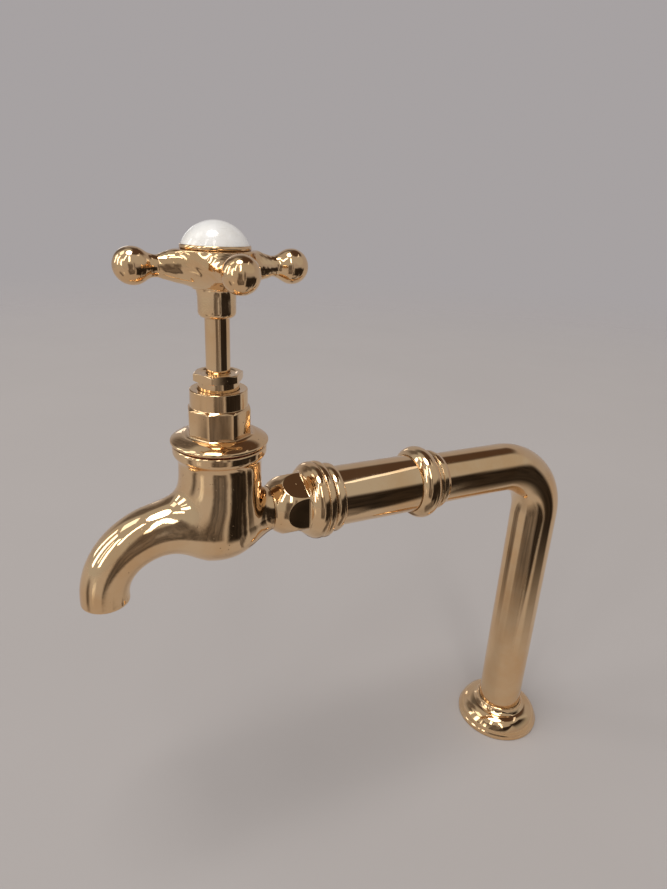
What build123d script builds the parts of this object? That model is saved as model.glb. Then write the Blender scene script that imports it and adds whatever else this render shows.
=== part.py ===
"""A long-reach bib tap on its own upstand: a bent stand pipe rises from the worktop, a
union nut joins it to the cast tap body, and a cross handle with a china dome works a
rising spindle that lifts a washer off its seat.

Millimetres, +Z up. The origin is the middle of the base flange's underside, where it
rests on the worktop. The leg stands on that point, and the arm and the spout point to -Y.
Threads are plain cylinders at the thread's major diameter.
"""

import os
from math import asin, cos, pi, radians, sin, sqrt, tan

from build123d import *

# Overall sizes
arm_height = 156.3
reach = 158.5

# Fits, as a gap on the radius
brazed_gap = 0.05
thread_gap = 0.1
running_gap = 0.08
slip_gap = 0.2

# Edges and nut corners
edge_round = 0.6
chamfer_angle = 30.0
chamfer_bite = 0.3
corner_margin = 0.1

# Stand pipe
pipe_radius = 11.0
pipe_wall = 1.2
bend_radius = 27.0
pipe_end_gap = 8.0

# Base flange and the clamp under the worktop
flange_radius = 21.2
flange_edge = 2.4
flange_height = 9.4
flange_knee_radius = 18.2
flange_knee_height = 7.4
flange_crown = 2.4
flange_cove = 2.8
flange_cove_sag = 0.5
flange_lip = 0.8
flange_floor = 3.0
gasket_radius = 17.4
gasket_width = 4.2
gasket_thickness = 1.5
worktop_gap = 30.0
tail_thread_radius = 10.478
tail_wall = 2.978
tail_length = 60.0
tail_lap = 20.0
deck_washer_width = 8.5
deck_washer_thickness = 2.0
clamp_washer_width = 7.5
clamp_washer_thickness = 1.5
back_nut_wall = 4.5
back_nut_thickness = 7.5

# Knuckle ring where the pipe enters the sleeve
bead_half_width = 4.5
bead_rise = 3.4
step_rise = 1.5
step_width = 3.6
step_taper = 1.9
step_lip = 0.4
bead_root = 0.5
sleeve_wall = 1.05
sleeve_socket = 2.6
sleeve_length = 38.1

# Union between the arm and the tap body
union_thread_radius = 10.2
union_thread_length = 11.0
socket_wall = 2.2
socket_spigot_length = 8.0
shoulder_rise = 3.7
shoulder_width = 4.4
union_washer_thickness = 1.5
tail_flange_thickness = 2.2
tail_flange_lip = 1.3
tail_spigot_wall = 1.5
tail_spigot_length = 7.0
neck_edge = 0.1
neck_wall = 2.4
neck_length = 19.2
nose_gap = 3.2
nose_wall = 4.6
nose_lip = 0.4
nut_wall = 1.5
nut_turn = 32.0
nut_dome_rise = 5.2
nut_dome_lap = 1.0
nut_flange_width = 5.8
nut_mouth_gap = 0.7

# Valve seat, washer and jumper
seat_bore_radius = 6.2
seat_lip = 1.6
seat_lip_width = 2.0
seat_web = 2.3
washer_overlap = 1.2
washer_thickness = 4.5
jumper_plate_thickness = 2.3
jumper_stem_length = 8.5
jumper_stud_radius = 2.4
guide_runout = 0.5
washer_nut_flats = 7.0
washer_nut_height = 2.4

# Tap body
plate_gap = 0.5
skirt_wall = 2.0
body_thread_ledge = 0.4
body_thread_depth = 8.0
barrel_wall = 3.1
barrel_drop = 15.9
body_top = 29.1
rim_rise = 1.5
rim_width = 3.5
rim_cove = 3.9
inlet_sump = 3.2
socket_runout = 0.5
pocket_depth = 7.0
pocket_wall = 0.3
spout_bore_radius = 6.4
mouth_radius = 8.42
mouth_reach = 42.8
mouth_drop = 26.1
mouth_edge = 2.0
mouth_bore_depth = 6.0
spout_root_radius = 10.4
spout_root_reach = 9.0
spout_root_height = -1.6
spout_lead = 19.0
spout_lead_rise = 4.4
mouth_lead = 15.6
bore_lead = 9.5
spout_steps = 6
spout_easing = 1.5
spout_start = -0.08

# Spindle
stem_radius = 4.1
stem_show = 18.2
screw_thread_depth = 1.3
screw_length = 16.2
jumper_guide_wall = 2.5
valve_travel = 7.94
screw_end_clearance = 0.5
plate_top_clearance = 1.7
square_flats = 5.8
square_start = 2.2
square_length = 11.0
square_end_gap = 0.5

# Bonnet and gland
bonnet_washer_thickness = 0.6
bonnet_washer_inset = 0.6
bonnet_flange_rise = 0.9
bonnet_flange_thickness = 2.7
bonnet_flange_edge = 1.2
packing_width = 3.05
packing_height = 4.0
gland_depth = 7.8
gland_ring_thickness = 0.8
collar_wall = 2.75
collar_height = 7.9
collar_round = 1.8
spanner_rise = 0.5
spanner_sides = 8
spanner_turn = 11.2
spanner_height = 8.9
spanner_lap = 0.5
gland_nut_rise = 0.4
gland_nut_turn = 29.4
gland_nut_height = 3.8
gland_nut_stand = 1.8

# Handle
boss_wall = 2.15
boss_foot_wall = 0.8
boss_foot_bulge = 0.5
boss_foot_height = 3.0
boss_top = 9.7
hub_foot_rise = 0.65
hub_bulge = 1.0
hub_height = 21.3
hub_radius = 11.9
hub_edge = 2.4
hub_wall = 3.7
arm_rise = 16.2
ball_reach = 25.8
ball_radius = 5.73
arm_neck_radius = 3.35
arm_neck_reach = 18.4
arm_neck_end_radius = 3.5
arm_root_radius = 5.7
arm_core_radius = 6.6
arm_core_reach = 3.2
arm_root_reach = 9.8
ball_lap = 0.1

# Handle screw, ferrule and index
screw_radius = 2.0
screw_hole_depth = 9.0
screw_end_gap = 1.0
screw_head_radius = 3.6
screw_head_height = 2.4
screw_slot = 0.9
screw_slot_depth = 0.9
handle_washer_width = 3.0
handle_washer_thickness = 0.8
ferrule_inset = 0.6
ferrule_lip = 0.5
ferrule_flange = 1.0
ferrule_skirt = 4.0
ferrule_wall = 1.3
index_edge = 0.5
index_rise = 7.3
index_spigot_length = 2.6

# Radii that follow from the pipe and the tail
pipe_bore_radius = pipe_radius - pipe_wall
sleeve_bore_radius = pipe_radius + brazed_gap
sleeve_radius = sleeve_bore_radius + sleeve_wall
tail_bore_radius = tail_thread_radius - tail_wall
deck_washer_radius = tail_thread_radius + deck_washer_width
clamp_washer_radius = tail_thread_radius + clamp_washer_width
back_nut_flats = 2 * (tail_thread_radius + back_nut_wall)

# Radii that follow from the union's thread
socket_bore_radius = union_thread_radius - socket_wall
shoulder_radius = union_thread_radius + shoulder_rise
tail_flange_radius = union_thread_radius - slip_gap
tail_collar_radius = tail_flange_radius - tail_flange_lip
neck_radius = tail_collar_radius + neck_edge
tail_spigot_radius = neck_radius - neck_wall - thread_gap
waterway_radius = tail_spigot_radius - tail_spigot_wall
nut_flats = 2 * (union_thread_radius + thread_gap + nut_wall)
nut_dome_radius = union_thread_radius + nut_dome_rise

# Radii that follow from the seat's bore, outward to the bonnet's flange
seat_lip_radius = seat_bore_radius + seat_lip_width
washer_radius = seat_lip_radius + washer_overlap
skirt_bore_radius = washer_radius + plate_gap
body_thread_radius = skirt_bore_radius + skirt_wall + thread_gap
chamber_radius = body_thread_radius - body_thread_ledge
barrel_radius = chamber_radius + barrel_wall
rim_radius = barrel_radius + rim_rise
bonnet_washer_radius = rim_radius - bonnet_washer_inset
bonnet_flange_radius = rim_radius + bonnet_flange_rise

# Radii that follow from the spindle's stem
screw_thread_radius = stem_radius + screw_thread_depth
jumper_stem_radius = screw_thread_radius - jumper_guide_wall
gland_bore_radius = stem_radius + packing_width
collar_radius = gland_bore_radius + collar_wall
spanner_flats = 2 * (collar_radius + spanner_rise)
gland_nut_flats = 2 * (gland_bore_radius + gland_nut_rise)
boss_radius = stem_radius + boss_wall
boss_foot_radius = stem_radius + boss_foot_wall
hub_foot_radius = boss_radius + hub_foot_rise

# Radii that follow from the hub and the handle's screw
hub_recess_radius = hub_radius - hub_wall
ferrule_radius = hub_radius - ferrule_inset
handle_washer_inner = screw_radius + slip_gap
handle_washer_radius = handle_washer_inner + handle_washer_width

# Heights above the arm's axis, worked up the spindle
web_top = waterway_radius + seat_web
seat_height = web_top + seat_lip
plate_base = seat_height + washer_thickness
spindle_base = plate_base + jumper_plate_thickness
screw_top = spindle_base + screw_length
screw_bore_top = screw_top + valve_travel + screw_end_clearance
skirt_base = body_top - body_thread_depth
skirt_bore_top = spindle_base + valve_travel + plate_top_clearance
bonnet_seat = body_top + bonnet_washer_thickness
bonnet_flange_top = bonnet_seat + bonnet_flange_thickness
spanner_top = bonnet_flange_top + spanner_height
bonnet_top = spanner_top + collar_height
gland_floor = bonnet_top - gland_depth
packing_top = gland_floor + packing_height
gland_ring_top = packing_top + gland_ring_thickness
gland_nut_base = bonnet_top + gland_nut_stand
gland_nut_top = gland_nut_base + gland_nut_height
handle_base = gland_nut_top + stem_show
square_base = handle_base + square_start
square_top = square_base + square_length
handle_floor = square_top + square_end_gap
hub_top = handle_base + hub_height
index_base = hub_top + ferrule_flange

# Distances from the leg's axis, worked back along the arm
neck_end = reach - neck_length
nut_nose = neck_end - nose_gap
nut_shoulder = nut_nose - nose_wall
union_face = nut_shoulder - tail_flange_thickness
socket_face = union_face - union_washer_thickness
shoulder_front = socket_face - union_thread_length
nut_mouth = shoulder_front + nut_mouth_gap
nut_dome_start = nut_mouth + nut_flange_width
shoulder_back = shoulder_front - shoulder_width
spigot_end = shoulder_back - socket_spigot_length
pipe_end = spigot_end - pipe_end_gap
sleeve_end = shoulder_back - sleeve_length
knuckle_end = sleeve_end + sleeve_socket
knuckle_middle = knuckle_end - bead_half_width
bead_start = knuckle_middle - bead_half_width

# Heights under the worktop
deck_washer_base = -worktop_gap - deck_washer_thickness
clamp_washer_base = deck_washer_base - clamp_washer_thickness


def outline(start, steps):
    """A closed flat face. A step is a point, for a straight edge to it; a pair of points,
    for an arc through the first to the second; or one point alone in a tuple, for an arc
    that carries on in the last edge's direction."""
    edges = []
    here = start
    for step in steps:
        if not isinstance(step[0], tuple):
            end = step
            edges.append(Line(here, end))
        elif len(step) == 2:
            middle, end = step
            edges.append(ThreePointArc(here, middle, end))
        else:
            end = step[0]
            edges.append(TangentArc(here, end, tangent=edges[-1] % 1))
        here = end
    edges.append(Line(here, start))
    return make_face(edges)


def turned(start, *steps):
    """A solid turned about Z from an outline of radius and height."""
    return revolve(Plane.XZ * outline(start, steps), Axis.Z)


def ring(outer, inner, low, high):
    """A plain ring about Z."""
    return Pos(0, 0, low) * extrude(Circle(outer) - Circle(inner), high - low)


def rod(radius, low, high):
    """A plain cylinder about Z."""
    return Pos(0, 0, low) * extrude(Circle(radius), high - low)


def prism(flats, sides, low, high, turn=0.0):
    """A regular prism about Z, its size given across the flats."""
    section = RegularPolygon(flats / 2, sides, major_radius=False)
    return Pos(0, 0, low) * Rot(Z=turn) * extrude(section, high - low)


def chamfer_limit(flats, sides, low, high, low_cut, high_cut):
    """The turned shape that takes the corners off a nut's ends, as a nut is turned."""
    corner = flats / 2 / cos(pi / sides) + corner_margin
    face = flats / 2 - chamfer_bite
    drop = (corner - face) * tan(radians(chamfer_angle))
    low_end = [(face, low), (corner, low + drop)] if low_cut else [(corner, low)]
    high_end = [(corner, high - drop), (face, high)] if high_cut else [(corner, high)]
    return turned((0, low), *low_end, *high_end, (0, high))


def nut_blank(flats, sides, low, high, turn=0.0, low_cut=True, high_cut=True):
    """A prism with its corners turned off at the ends that are named."""
    limit = chamfer_limit(flats, sides, low, high, low_cut, high_cut)
    return prism(flats, sides, low, high, turn) & limit


def on_spindle(shape):
    """Puts a shape made about Z on the spindle's axis, its zero on the arm's axis."""
    return Pos(0, -reach, arm_height) * shape


def on_arm(shape):
    """Lays a shape made about Z along the arm, its zero on the leg's axis."""
    return Pos(0, 0, arm_height) * Rot(X=90) * shape


def bent_rod(radius, low, far):
    """A round bar up the leg, round the bend and out along the arm."""
    corner = arm_height - bend_radius
    slant = bend_radius * sin(pi / 4)
    bend_middle = (0, slant - bend_radius, corner + slant)
    bend_end = (0, -bend_radius, arm_height)
    rise = Line((0, 0, low), (0, 0, corner))
    bend = ThreePointArc((0, 0, corner), bend_middle, bend_end)
    run = Line(bend_end, (0, -far, arm_height))
    return sweep(Plane.XY.offset(low) * Circle(radius), path=Wire([rise, bend, run]))


def elbow_pipe():
    """The bent stand pipe, from its seat in the base flange to inside the sleeve."""
    outside = bent_rod(pipe_radius, flange_floor, pipe_end)
    return outside - bent_rod(pipe_bore_radius, flange_floor, pipe_end)


def base_flange():
    """The domed foot that the pipe is brazed into, with a groove for its gasket."""
    top = flange_height + flange_cove
    crown = pipe_radius + flange_crown
    lip = pipe_radius + flange_lip
    knee = (flange_knee_radius, flange_knee_height)
    cove_middle = ((crown + lip) / 2 - flange_cove_sag, flange_height + flange_cove / 2 - flange_cove_sag)
    body = turned(
        (0, 0),
        (flange_radius, 0),
        (flange_radius, flange_edge),
        (knee, (crown, flange_height)),
        (cove_middle, (lip, top)),
        (0, top),
    )
    socket = rod(pipe_radius + brazed_gap, flange_floor, top)
    hole = rod(tail_thread_radius + thread_gap, 0, flange_floor)
    groove = ring(gasket_radius, gasket_radius - gasket_width, 0, gasket_thickness)
    return body - socket - hole - groove


def base_gasket():
    """The rubber ring in the flange's groove, flush with its underside."""
    outer = gasket_radius - slip_gap
    inner = gasket_radius - gasket_width + slip_gap
    return ring(outer, inner, 0, gasket_thickness)


def deck_tail():
    """The threaded tail that goes down through the worktop and up into the pipe."""
    top = flange_floor + tail_lap
    thread = rod(tail_thread_radius, -tail_length, flange_floor)
    spigot = rod(pipe_bore_radius - brazed_gap, flange_floor, top)
    return thread + spigot - rod(tail_bore_radius, -tail_length, top)


def deck_washer():
    """The rubber washer that bears on the underside of the worktop."""
    inner = tail_thread_radius + slip_gap
    return ring(deck_washer_radius, inner, deck_washer_base, -worktop_gap)


def clamp_washer():
    """The flat brass washer between the rubber washer and the back nut."""
    inner = tail_thread_radius + slip_gap
    return ring(clamp_washer_radius, inner, clamp_washer_base, deck_washer_base)


def back_nut():
    """The hexagon nut that pulls the base flange down onto the worktop."""
    low = clamp_washer_base - back_nut_thickness
    nut = nut_blank(back_nut_flats, 6, low, clamp_washer_base)
    return nut - rod(tail_thread_radius + thread_gap, low, clamp_washer_base)


def knuckle_ring():
    """The half-round bead and stepped collar that cover the pipe's entry to the sleeve."""
    crest = sleeve_radius + bead_rise
    root = sleeve_radius + bead_root
    step = pipe_radius + step_rise
    step_start = bead_start - step_width
    body = turned(
        (sleeve_bore_radius, step_start - step_taper),
        (pipe_radius + step_lip, step_start - step_taper),
        (step, step_start),
        (step, bead_start),
        (root, bead_start),
        ((crest, knuckle_middle), (root, knuckle_end)),
        (sleeve_bore_radius, knuckle_end),
    )
    return on_arm(body - rod(sleeve_radius + brazed_gap, sleeve_end, knuckle_end))


def arm_sleeve():
    """The outer tube between the knuckle ring and the union socket."""
    return on_arm(ring(sleeve_radius, sleeve_bore_radius, sleeve_end, shoulder_back))


def union_socket():
    """The arm's threaded end: a spigot in the sleeve, a round shoulder and a male thread."""
    spigot = rod(sleeve_bore_radius - brazed_gap, spigot_end, shoulder_back)
    crest = (shoulder_radius, (shoulder_back + shoulder_front) / 2)
    shoulder = turned(
        (0, shoulder_back),
        (shoulder_radius - edge_round, shoulder_back),
        (crest, (shoulder_radius - edge_round, shoulder_front)),
        (0, shoulder_front),
    )
    thread = rod(union_thread_radius, shoulder_front, socket_face)
    return on_arm(spigot + shoulder + thread - rod(socket_bore_radius, spigot_end, socket_face))


def union_washer():
    """The fibre washer squeezed between the socket and the union tail."""
    return on_arm(ring(tail_flange_radius, waterway_radius + slip_gap, socket_face, union_face))


def union_tail():
    """The tube that screws into the tap body and is caught by the union nut."""
    end = neck_end + tail_spigot_length
    flange = rod(tail_flange_radius, union_face, nut_shoulder)
    collar = rod(tail_collar_radius, nut_shoulder, neck_end)
    spigot = rod(tail_spigot_radius, neck_end, end)
    return on_arm(flange + collar + spigot - rod(waterway_radius, union_face, end))


def union_nut():
    """The domed hexagon nut: a round flange at its mouth and flats cut into the dome."""
    nose_hole = tail_collar_radius + slip_gap
    flange_middle = (nut_dome_radius, nut_mouth + nut_flange_width / 2)
    domed = turned(
        (0, nut_dome_start - nut_dome_lap),
        (nut_dome_radius, nut_dome_start - nut_dome_lap),
        (nut_dome_radius, nut_dome_start),
        ((nose_hole + nose_lip, nut_nose),),
        (0, nut_nose),
    )
    flats = prism(nut_flats, 6, nut_mouth, nut_nose, nut_turn)
    flange = turned(
        (0, nut_mouth),
        (nut_dome_radius - edge_round, nut_mouth),
        (flange_middle, (nut_dome_radius - edge_round, nut_dome_start)),
        (0, nut_dome_start),
    )
    thread = rod(union_thread_radius + thread_gap, nut_mouth, nut_shoulder)
    return on_arm((domed & flats) + flange - thread - rod(nose_hole, nut_shoulder, nut_nose))


def spout_station(share, straight, lead):
    """Place and direction on the spout's centre line, a cubic curve that leaves the barrel
    nearly level and ends pointing straight down, a straight length above the mouth. Ahead
    and height are from the spindle's axis and the arm's axis, and a share below zero
    carries the curve back into the barrel."""
    end = straight - mouth_drop
    corners = [
        (spout_root_reach, spout_root_height),
        (spout_root_reach + spout_lead, spout_root_height + spout_lead_rise),
        (mouth_reach, end + lead),
        (mouth_reach, end),
    ]
    rest = 1 - share
    weights = [rest**3, 3 * rest**2 * share, 3 * rest * share**2, share**3]
    slopes = [
        -3 * rest**2,
        3 * rest**2 - 6 * rest * share,
        6 * rest * share - 3 * share**2,
        3 * share**2,
    ]
    ahead = sum(w * c[0] for w, c in zip(weights, corners))
    height = sum(w * c[1] for w, c in zip(weights, corners))
    along = sum(s * c[0] for s, c in zip(slopes, corners))
    upward = sum(s * c[1] for s, c in zip(slopes, corners))
    return Plane(origin=(0, -ahead, height), x_dir=(1, 0, 0), z_dir=(0, -along, upward))


def spout_solid(root_radius, end_radius, straight, lead, start=0.0):
    """The spout's curved part, its radius easing from the root's to the mouth's."""
    faces = []
    for step in range(spout_steps + 1):
        share = start + (1 - start) * step / spout_steps
        eased = 1 - (1 - share) ** spout_easing
        radius = root_radius + (end_radius - root_radius) * eased
        faces.append(spout_station(share, straight, lead) * Circle(radius))
    return loft(faces)


def tap_body():
    """The cast body: barrel with a round bottom, spout, inlet neck and the valve seat."""
    ball_height = barrel_radius - barrel_drop
    diagonal = barrel_radius * cos(pi / 4)
    rim_base = body_top - rim_width
    cove_base = rim_base - rim_cove
    barrel = turned(
        (0, -barrel_drop),
        ((diagonal, ball_height - diagonal), (barrel_radius, ball_height)),
        (barrel_radius, cove_base),
        ((rim_radius - edge_round, rim_base),),
        ((rim_radius, body_top - rim_width / 2), (rim_radius - edge_round, body_top)),
        (0, body_top),
    )
    over_mouth = Pos(0, -mouth_reach, -mouth_drop)
    mouth = over_mouth * rod(mouth_radius, 0, mouth_edge)
    spout = spout_solid(spout_root_radius, mouth_radius, mouth_edge, mouth_lead, spout_start)
    neck = Rot(X=-90) * rod(neck_radius, 0, neck_length)
    outside = barrel + spout + mouth + neck

    seat = ring(seat_lip_radius, seat_bore_radius, web_top, seat_height)
    chamber = rod(chamber_radius, web_top, body_top) - seat
    thread = rod(body_thread_radius, skirt_base, body_top)
    inlet_well = rod(seat_bore_radius, -waterway_radius - inlet_sump, seat_height)
    inlet = Rot(X=-90) * rod(waterway_radius, 0, neck_length)
    socket_start = neck_length - tail_spigot_length - socket_runout
    socket = Rot(X=-90) * rod(tail_spigot_radius + thread_gap, socket_start, neck_length)
    front_wall = seat_lip_radius + pocket_wall
    front = Pos(0, -front_wall - chamber_radius, 0) * Rectangle(2 * chamber_radius, 2 * chamber_radius)
    pocket_face = Circle(chamber_radius) & front
    pocket = Pos(0, 0, -pocket_depth) * extrude(pocket_face, pocket_depth + web_top)
    bore = spout_solid(spout_bore_radius, spout_bore_radius, mouth_bore_depth, bore_lead)
    outlet = over_mouth * rod(spout_bore_radius, 0, mouth_bore_depth)
    hollow = chamber + thread + inlet_well + inlet + socket + pocket + bore + outlet
    return on_spindle(outside - hollow)


def bonnet_washer():
    """The thin fibre washer between the body's rim and the bonnet's flange."""
    return on_spindle(ring(bonnet_washer_radius, body_thread_radius + slip_gap, body_top, bonnet_seat))


def bonnet():
    """The valve's head: a threaded skirt, a round flange, spanner flats and a collar."""
    rim_crest = (bonnet_flange_radius, bonnet_seat + bonnet_flange_edge)
    flange = turned(
        (0, bonnet_seat),
        (bonnet_flange_radius - edge_round, bonnet_seat),
        (rim_crest, (bonnet_flange_radius - edge_round, bonnet_flange_top - edge_round)),
        (spanner_flats / 2, bonnet_flange_top),
        (0, bonnet_flange_top),
    )
    flats = nut_blank(
        spanner_flats,
        spanner_sides,
        bonnet_flange_top - spanner_lap,
        spanner_top,
        spanner_turn,
        low_cut=False,
    )
    collar = turned(
        (0, bonnet_flange_top),
        (collar_radius, bonnet_flange_top),
        (collar_radius, bonnet_top - collar_round),
        ((collar_radius - collar_round, bonnet_top),),
        (0, bonnet_top),
    )
    skirt = rod(body_thread_radius - thread_gap, skirt_base, bonnet_flange_top)
    hollow = rod(skirt_bore_radius, skirt_base, skirt_bore_top)
    screw_bore = rod(screw_thread_radius + running_gap, skirt_base, screw_bore_top)
    stem_bore = rod(stem_radius + running_gap, skirt_base, bonnet_top)
    gland_recess = rod(gland_bore_radius, gland_floor, bonnet_top)
    solid = flange + flats + collar + skirt
    return on_spindle(solid - hollow - screw_bore - stem_bore - gland_recess)


def gland_packing():
    """The packing ring round the spindle, at the bottom of the gland."""
    outer = gland_bore_radius - brazed_gap
    return on_spindle(ring(outer, stem_radius + running_gap, gland_floor, packing_top))


def gland_ring():
    """The brass follower ring that presses on the packing."""
    outer = gland_bore_radius - thread_gap
    return on_spindle(ring(outer, stem_radius + running_gap, packing_top, gland_ring_top))


def gland_nut():
    """The hexagon-headed screw that squeezes the packing."""
    head = nut_blank(gland_nut_flats, 6, gland_nut_base, gland_nut_top, gland_nut_turn)
    shank = rod(gland_bore_radius - thread_gap, gland_ring_top, gland_nut_base)
    return on_spindle(head + shank - rod(stem_radius + running_gap, gland_ring_top, gland_nut_top))


def spindle():
    """The rising spindle: a coarse screw below, a plain stem, and a square for the handle."""
    screw = rod(screw_thread_radius, spindle_base, screw_top)
    stem = rod(stem_radius, screw_top, square_base)
    square_face = Circle(stem_radius) & Rectangle(square_flats, square_flats)
    square = Pos(0, 0, square_base) * extrude(square_face, square_length)
    guide_depth = jumper_stem_length + guide_runout
    guide = rod(jumper_stem_radius + running_gap, spindle_base, spindle_base + guide_depth)
    tapped = rod(screw_radius + brazed_gap, square_top - screw_hole_depth, square_top)
    return on_spindle(screw + stem + square - guide - tapped)


def jumper():
    """The loose valve plate, with a stem up into the spindle and a stud for the washer."""
    plate = turned(
        (0, plate_base),
        (washer_radius, plate_base),
        (washer_radius, spindle_base - edge_round),
        (washer_radius - edge_round, spindle_base),
        (0, spindle_base),
    )
    stem = rod(jumper_stem_radius, spindle_base, spindle_base + jumper_stem_length)
    stud = rod(jumper_stud_radius, seat_height - washer_nut_height, plate_base)
    return on_spindle(plate + stem + stud)


def tap_washer():
    """The rubber washer that closes on the seat."""
    return on_spindle(ring(washer_radius, jumper_stud_radius + slip_gap, seat_height, plate_base))


def washer_nut():
    """The small nut that holds the rubber washer on the jumper."""
    low = seat_height - washer_nut_height
    nut = nut_blank(washer_nut_flats, 6, low, seat_height)
    return on_spindle(nut - rod(jumper_stud_radius + brazed_gap, low, seat_height))


def handle_arm(turn):
    """One arm of the cross: a waisted neck that swells into the hub, and a ball."""
    neck_end_reach = ball_reach - sqrt(ball_radius**2 - arm_neck_end_radius**2) + ball_lap
    neck = turned(
        (0, 0),
        (arm_core_radius, 0),
        (arm_core_radius, arm_core_reach),
        ((arm_root_radius, arm_root_reach), (arm_neck_radius, arm_neck_reach)),
        (arm_neck_end_radius, neck_end_reach),
        (0, neck_end_reach),
    )
    ball = Pos(0, 0, ball_reach) * Sphere(ball_radius)
    return Rot(Z=turn) * Rot(Y=90) * (neck + ball)


def cross_handle():
    """The cast cross handle: boss, flared hub, four ball-ended arms and a square socket."""
    flare_top = hub_height - hub_edge
    foot_middle = ((boss_foot_radius + boss_radius) / 2 + boss_foot_bulge, boss_foot_height / 2)
    flare_middle = ((hub_foot_radius + hub_radius) / 2 + hub_bulge, (boss_top + flare_top) / 2)
    solid = turned(
        (0, 0),
        (boss_foot_radius, 0),
        (foot_middle, (boss_radius, boss_foot_height)),
        (boss_radius, boss_top),
        (hub_foot_radius, boss_top),
        (flare_middle, (hub_radius, flare_top)),
        (hub_radius, hub_height),
        (0, hub_height),
    )
    for quarter in range(4):
        solid += Pos(0, 0, arm_rise) * handle_arm(90 * quarter)
    solid -= rod(hub_radius, hub_height, hub_height + arm_root_radius)
    floor = handle_floor - handle_base
    round_bore = rod(stem_radius + brazed_gap, 0, square_start)
    socket_flats = square_flats + 2 * brazed_gap
    socket = extrude(Rectangle(socket_flats, socket_flats), floor - square_start)
    square_bore = Pos(0, 0, square_start) * socket
    recess = rod(hub_recess_radius, floor, hub_height)
    return on_spindle(Pos(0, 0, handle_base) * (solid - round_bore - square_bore - recess))


def handle_washer():
    """The flat washer under the handle screw."""
    top = handle_floor + handle_washer_thickness
    return on_spindle(ring(handle_washer_radius, handle_washer_inner, handle_floor, top))


def handle_screw():
    """The cheese-head screw that holds the handle on the spindle."""
    low = handle_floor + handle_washer_thickness
    head = rod(screw_head_radius, low, low + screw_head_height)
    shank = rod(screw_radius, square_top - screw_hole_depth + screw_end_gap, low)
    slot = Box(2 * screw_head_radius, screw_slot, 2 * screw_slot_depth)
    return on_spindle(head + shank - Pos(0, 0, low + screw_head_height) * slot)


def index_ferrule():
    """The brass ring that screws into the hub and holds the china dome."""
    lip_top = index_base + index_edge
    skirt_radius = hub_recess_radius - thread_gap
    body = turned(
        (skirt_radius - ferrule_wall, hub_top - ferrule_skirt),
        (skirt_radius, hub_top - ferrule_skirt),
        (skirt_radius, hub_top),
        (ferrule_radius - edge_round, hub_top),
        ((ferrule_radius, (hub_top + lip_top) / 2), (ferrule_radius - ferrule_lip / 2, lip_top)),
        (ferrule_radius - ferrule_lip, lip_top),
        (ferrule_radius - ferrule_lip, index_base),
        (skirt_radius - ferrule_wall, index_base),
    )
    return on_spindle(body)


def china_index():
    """The glazed china dome on top of the handle, with a short spigot in the ferrule."""
    rim = ferrule_radius - ferrule_lip - brazed_gap
    edge = index_base + index_edge
    crown = edge + index_rise
    dome_radius = (rim**2 + index_rise**2) / (2 * index_rise)
    half_angle = asin(rim / dome_radius) / 2
    middle = (dome_radius * sin(half_angle), crown - dome_radius * (1 - cos(half_angle)))
    spigot_radius = hub_recess_radius - thread_gap - ferrule_wall - brazed_gap
    body = turned(
        (0, index_base - index_spigot_length),
        (spigot_radius, index_base - index_spigot_length),
        (spigot_radius, index_base),
        (rim, index_base),
        (rim, edge),
        (middle, (0, crown)),
    )
    return on_spindle(body)


pieces = [
    elbow_pipe,
    base_flange,
    base_gasket,
    deck_tail,
    deck_washer,
    clamp_washer,
    back_nut,
    knuckle_ring,
    arm_sleeve,
    union_socket,
    union_washer,
    union_tail,
    union_nut,
    tap_body,
    bonnet_washer,
    bonnet,
    gland_packing,
    gland_ring,
    gland_nut,
    spindle,
    jumper,
    tap_washer,
    washer_nut,
    cross_handle,
    handle_washer,
    handle_screw,
    index_ferrule,
    china_index,
]

os.makedirs("parts", exist_ok=True)
for piece in pieces:
    export_step(piece(), f"parts/{piece.__name__}.step")
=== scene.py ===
"""A long-reach bib tap in unlacquered polished brass, standing on its own upstand.

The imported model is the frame. Each visible piece is a surface worked out with numpy in
millimetres, in the frame's own axes: +Z up, the leg on the origin, the arm and the spout
towards -Y. Turned pieces are profiles carried round an axis, nuts are the same with flats
cut in, the pipe is a ring carried along its bend, and the two castings are level surfaces
of a blended distance field.
"""

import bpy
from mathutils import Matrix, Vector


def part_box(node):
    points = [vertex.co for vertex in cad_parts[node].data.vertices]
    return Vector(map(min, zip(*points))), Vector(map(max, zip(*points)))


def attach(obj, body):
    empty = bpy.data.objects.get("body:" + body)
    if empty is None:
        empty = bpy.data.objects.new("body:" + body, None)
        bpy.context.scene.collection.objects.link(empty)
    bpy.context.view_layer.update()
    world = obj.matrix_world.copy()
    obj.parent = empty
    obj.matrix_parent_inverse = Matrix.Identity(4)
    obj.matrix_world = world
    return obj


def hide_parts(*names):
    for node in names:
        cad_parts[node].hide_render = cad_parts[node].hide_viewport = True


bl_info = {
    "name": "Bib tap",
    "version": (1, 0, 0),
    "blender": (4, 5, 0),
    "location": "View3D > Sidebar > Bib tap",
    "description": "Builds the brass, china and rubber surfaces of a bib tap round its frame",
    "category": "Add Mesh",
}

from math import cos, pi, radians, sin, tan

import bpy
import numpy as np
from bpy.props import FloatProperty, FloatVectorProperty, PointerProperty
from mathutils import Matrix, Vector

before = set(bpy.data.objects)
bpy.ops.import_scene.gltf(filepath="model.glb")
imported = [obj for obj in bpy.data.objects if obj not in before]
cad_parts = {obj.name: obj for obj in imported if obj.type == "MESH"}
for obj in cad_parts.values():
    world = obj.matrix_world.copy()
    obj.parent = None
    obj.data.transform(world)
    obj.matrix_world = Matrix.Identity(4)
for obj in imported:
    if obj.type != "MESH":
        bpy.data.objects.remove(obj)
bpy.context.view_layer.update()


def span(node):
    """A node's lowest and highest corners, in millimetres."""
    return tuple(np.array(corner) * 1000 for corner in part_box(node))


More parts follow.
